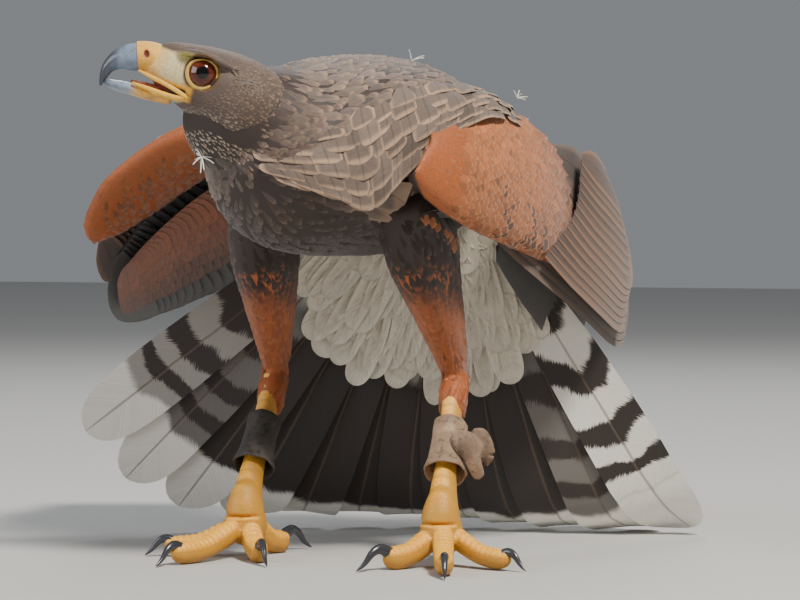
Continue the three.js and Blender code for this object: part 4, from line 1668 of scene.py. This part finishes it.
def foot(side):
    """Tarsus, ball and toes as one skin, with scutes raised on it."""
    fx, fy = FEET[side]
    ball = [
        [fx, fy + 3, 38, 2, 2, 2],
        [fx, fy + 1, 33, 6.6, 7, 7],
        [fx, fy - 1, 25, 9, 9.6, 9],
        [fx, fy - 1, 16, 10, 10.5, 10],
        [fx, fy, 8, 3, 3, 3],
    ]
    forms = [tarsus_form(side), limb(ball, (1, 0, 0), 36, 30)]
    forms += [toe_form(side, toe) for toe in TOES]
    skin = fused("foot_skin_" + side, forms, LEG, FOOT_VOXEL, rounds=5)
    points = points_of(skin)
    heel, base = np.array(HEELS[side], float), np.array([*FEET[side], FOOT_HEIGHT])
    shank = base - heel
    t = ((points - heel) @ shank) / (shank @ shank)
    normals = np.zeros(len(points) * 3)
    skin.data.vertices.foreach_get("normal", normals)
    normals = normals.reshape(-1, 3)
    ahead = smooth(0.1, 0.7, -(normals @ unit([-0.1 if side == "left" else 0.1, 0.75, 0.3])))
    plate = np.abs(np.sin(t * np.pi * TARSUS_SCUTES)) ** 0.35
    lift = 0.55 * plate * ahead * (t > 0.1) * smooth(1.04, 0.98, t)
    best = np.full(len(points), 99.0)
    ridge = np.zeros(len(points))
    for toe in TOES:
        way = toe_way(side, toe)
        away = points - toe_place(side, toe, 0, 0)
        run = away @ way
        off = np.linalg.norm(away[:, :2] - run[:, None] * way[:2], axis=1) - (run > 4) * 3
        better = (off < best) & (run > 2)
        best = np.where(better, off, best)
        band = np.abs(np.sin(run * np.pi / TOE_SCUTE)) ** 0.5
        ridge = np.where(better & (run > 9), 0.75 * band * smooth(0.15, 0.7, normals[:, 2]), ridge)
    lift = mixed(ridge, lift, smooth(20, 28, points[:, 2]))
    points = points + normals * (1.3 * lift)[:, None]
    points[:, 2] = np.maximum(points[:, 2], 0)
    set_points(skin, points)
    shade = 0.55 + 0.45 * smooth(0, 0.4, lift)
    # Painted shade: the skin is painted darker near the floor, under the toes and the ball of the foot
    under = smooth(6, 1, points[:, 2]) * 0.35
    colour = np.array(FOOT_YELLOW) * (shade * (1 - under))[:, None]
    pale = smooth(0.9, 0.4, t) * (points[:, 2] > 24)
    colour = over(colour, np.array(FOOT_PALE) * shade[:, None], 0.6 * pale)
    paint(skin, "Tint", colour)
    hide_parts("foot_" + side, *["toe_%s_%s" % (side, toe) for toe in TOES])


def claws(side):
    """Four curved claws that taper to their tips."""
    forms = []
    for toe, (_, reach, thick, long) in TOES.items():
        stations = []
        for share in (0, 0.15, 0.35, 0.55, 0.75, 0.9, 1):
            rise = long * 0.2 * math.sin(math.pi * min(1, share * 1.25)) - 5.6 * share**2
            r = thick * 0.62 * (1 - share) ** 0.8 + 0.28
            p = toe_place(side, toe, reach * 0.93 + 0.92 * long * share, 6.4 + rise)
            stations.append([*p, r * 0.85, r, r])
        across = np.cross([0, 0, 1], toe_way(side, toe))
        forms.append(limb(stations, across, 24, 40, floor=0.15))
    verts, faces = joined(forms)
    made = closed(piece("claws_" + side, verts, faces, CLAW))
    paint(made, "Tint", CLAW_GREY)
    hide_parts(*["claw_%s_%s" % (side, toe) for toe in TOES])


CUFFS = {
    "left": ((0.24, 0.16, 0.1), "pale_leather"),
    "right": ((0.05, 0.043, 0.036), "dark_leather"),
}


def anklet(side):
    """A leather cuff, flared below."""
    hx, hy, hz = HEELS[side]
    fx, fy = FEET[side]

    def centre(t):
        return np.array([mixed(hx, fx, t), mixed(hy, fy, t), mixed(hz, FOOT_HEIGHT, t)])

    way = unit(centre(1) - centre(0))
    across = unit(np.array([1, 0, 0]) - way[0] * way)
    front = np.cross(way, across)
    outer = [(0.40, 7.4), (0.41, 8.3), (0.45, 8.4), (0.52, 8.0), (0.6, 8.3), (0.68, 9.0), (0.74, 10.0)]
    hem = [(0.765, 10.4), (0.775, 10.1), (0.77, 9.3)]
    inner = [(0.7, 8.0), (0.6, 7.2), (0.5, 7.0), (0.42, 7.1)]
    profile = outer + hem + inner
    around = 72
    verts = []
    for t, r in profile:
        for i in range(around):
            a = 2 * math.pi * i / around
            wave = 1 + 0.025 * math.sin(3 * a + t * 9) + 0.02 * math.sin(7 * a - t * 20)
            verts.append(centre(t) + (across * math.cos(a) + front * math.sin(a) * 1.05) * r * wave)
    faces = quads(len(profile), around, loop=True)
    colour, slot = CUFFS[side]
    leather = leather_material("leather_" + side, colour)
    cuff = closed(piece("cuff_" + side, np.array(verts), faces, leather))
    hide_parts("anklet_" + side)


KNOT_AT = np.array([57.0, 24.0, 55.0])
KNOT_LEATHER = (0.2, 0.13, 0.085)
KNOT_FOLDS = (
    (
        (-9, 0, 1, 2, 2, 2),
        (-3, -3, 3, 4.5, 6, 6),
        (3, -3, 0, 4.6, 7, 7),
        (7, 0, -4, 3.5, 5, 5),
        (8.5, 1, -5, 0.6, 0.8, 0.8),
    ),
    (
        (-2, -6, 8, 1, 2, 2),
        (2, -7, 3, 2.2, 4.6, 4.6),
        (5, -6, -6, 1.6, 4.2, 4.2),
        (7, -4, -13, 1.0, 3.2, 3.2),
        (7.5, -4, -14.5, 0.5, 1, 1),
    ),
    (
        (3, -3, 8, 0.8, 2, 2),
        (8, -3, 6, 1.6, 4, 4),
        (11, -2, -2, 1.4, 3.6, 3.6),
        (9, -1, -8, 0.6, 1.4, 1.4),
    ),
)


def knot():
    """The folded end of leather that closes the cuff of the bird's left leg."""
    forms = []
    for fold in KNOT_FOLDS:
        stations = [[*(KNOT_AT + row[:3]), *row[3:]] for row in fold]
        forms.append(limb(stations, (0, 1, 0), 28, 28))
    leather = leather_material("leather_knot", KNOT_LEATHER)
    fused("cuff_knot", forms, leather, KNOT_VOXEL, rounds=3)


TUFTS = (
    ((-35.9, -72.5, 193.6), 11, 6.5, (0.5, -0.6, -0.2)),
    ((36.0, 4.0, 240.0), 3, 8.0, (0.1, -0.2, 1.0)),
    ((66.0, 62.0, 224.0), 5, 6.0, (0.3, 0.2, 1.0)),
)


def tufts():
    """Loose white down: one tuft on the throat and a few threads on the back."""
    forms = []
    for at, count, reach, way in TUFTS:
        for _ in range(count):
            out = unit(np.array(way) + rng.normal(0, 0.75, 3))
            droop = np.array([0, 0, -0.25 * reach])
            stations = [
                [*(np.array(at) + out * reach * s + droop * s * s), r, r, r]
                for s, r in ((0, 0.2), (0.35, 0.24), (0.7, 0.2), (1, 0.08))
            ]
            forms.append(limb(stations, (0.3, 0.5, 0.8), 6, 10))
    verts, faces = joined(forms)
    made, n = material("down", 0.9, (0.85, 0.82, 0.76), Sheen_Weight=0.3)
    n.colour(n.mix(n.between(n.noise(600), 0.35, 0.65), (0.74, 0.7, 0.62), (0.9, 0.88, 0.83)))
    closed(piece("down_tufts", verts, faces, made))


# Floor, lights and camera


FLOOR_REACH = 6.0
SKY = (0.86, 0.9, 0.95, 1)
SKY_STRENGTH = 0.26
LIGHTS = (
    ("key", (1.2, -0.75, 1.8), 0.45, 82, (1, 0.94, 0.85)),
    ("fill", (-1.4, -1.5, 0.8), 1.2, 24, (0.95, 0.97, 1)),
    ("back", (-0.6, 1.6, 1.5), 0.8, 16, (1, 1, 1)),
)
LIT_AT = (0, 20, 150)
CAMERA_AT = (660.0, -1347.3, 163.0)
CAMERA_TURN, CAMERA_PITCH = math.radians(25), math.radians(1.41)
CAMERA_LENS = 140.6


def faced(obj, way):
    """Turns a light or a camera the way it looks."""
    obj.rotation_euler = way.to_track_quat("-Z", "Y").to_euler()


def studio():
    made, _ = material("floor", 0.85, (0.52, 0.52, 0.51))
    corners = [(x * FLOOR_REACH, y * FLOOR_REACH, 0) for x, y in ((-1, -1), (1, -1), (1, 1), (-1, 1))]
    mesh = bpy.data.meshes.new("floor")
    mesh.from_pydata(corners, [], [(0, 1, 2, 3)])
    mesh.materials.append(made)
    linked("floor", mesh)
    world = bpy.data.worlds.new("studio")
    bpy.context.scene.world = world
    world.use_nodes = True
    sky = world.node_tree.nodes["Background"]
    sky.inputs[0].default_value = SKY
    sky.inputs[1].default_value = SKY_STRENGTH
    target = Vector(SHIFT) + Vector(LIT_AT) * MM
    for name, place, size, power, colour in LIGHTS:
        light = bpy.data.lights.new(name, "AREA")
        light.size = size
        light.energy = power
        light.color = colour
        lamp = linked(name, light)
        lamp.location = target + Vector(place)
        faced(lamp, target - lamp.location)


def camera():
    data = bpy.data.cameras.new("camera")
    data.sensor_width = 36
    data.lens = CAMERA_LENS
    data.clip_end = 50
    made = linked("camera", data)
    made.location = Vector(CAMERA_AT) * MM + Vector(SHIFT)
    level = math.cos(CAMERA_PITCH)
    look = (-math.sin(CAMERA_TURN) * level, math.cos(CAMERA_TURN) * level, -math.sin(CAMERA_PITCH))
    faced(made, Vector(look))
    bpy.context.scene.camera = made


def paint_body(skin):
    """The colours that show between the feathers."""
    x, y, z = points_of(skin).T
    pale = (y > 100) & (z < 190) & (z > 60)
    rust = (x > 54) & (z > 125) | (x < -70) | (z < 138) & ~pale
    colour = np.tile(BREAST, (len(x), 1))
    colour[pale] = np.array(CREAM) * 0.7
    colour[rust] = TROUSER
    paint(skin, "Tint", colour)


def build():
    skin = body_skin()
    paint_body(skin)
    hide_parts("torso", "neck", "thigh_left", "thigh_right")
    face = head_skin()
    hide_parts("head")
    coat(skin, face)
    patch_coverts(skin)
    for part in (upper_bill, cere, lower_bill, gape, tongue, eyes, lids):
        part()
    for side in ("left", "right"):
        for part in (foot, claws, anklet, wing):
            part(side)
    for part in (tail, scapulars, knot, tufts, studio, camera):
        part()


build()
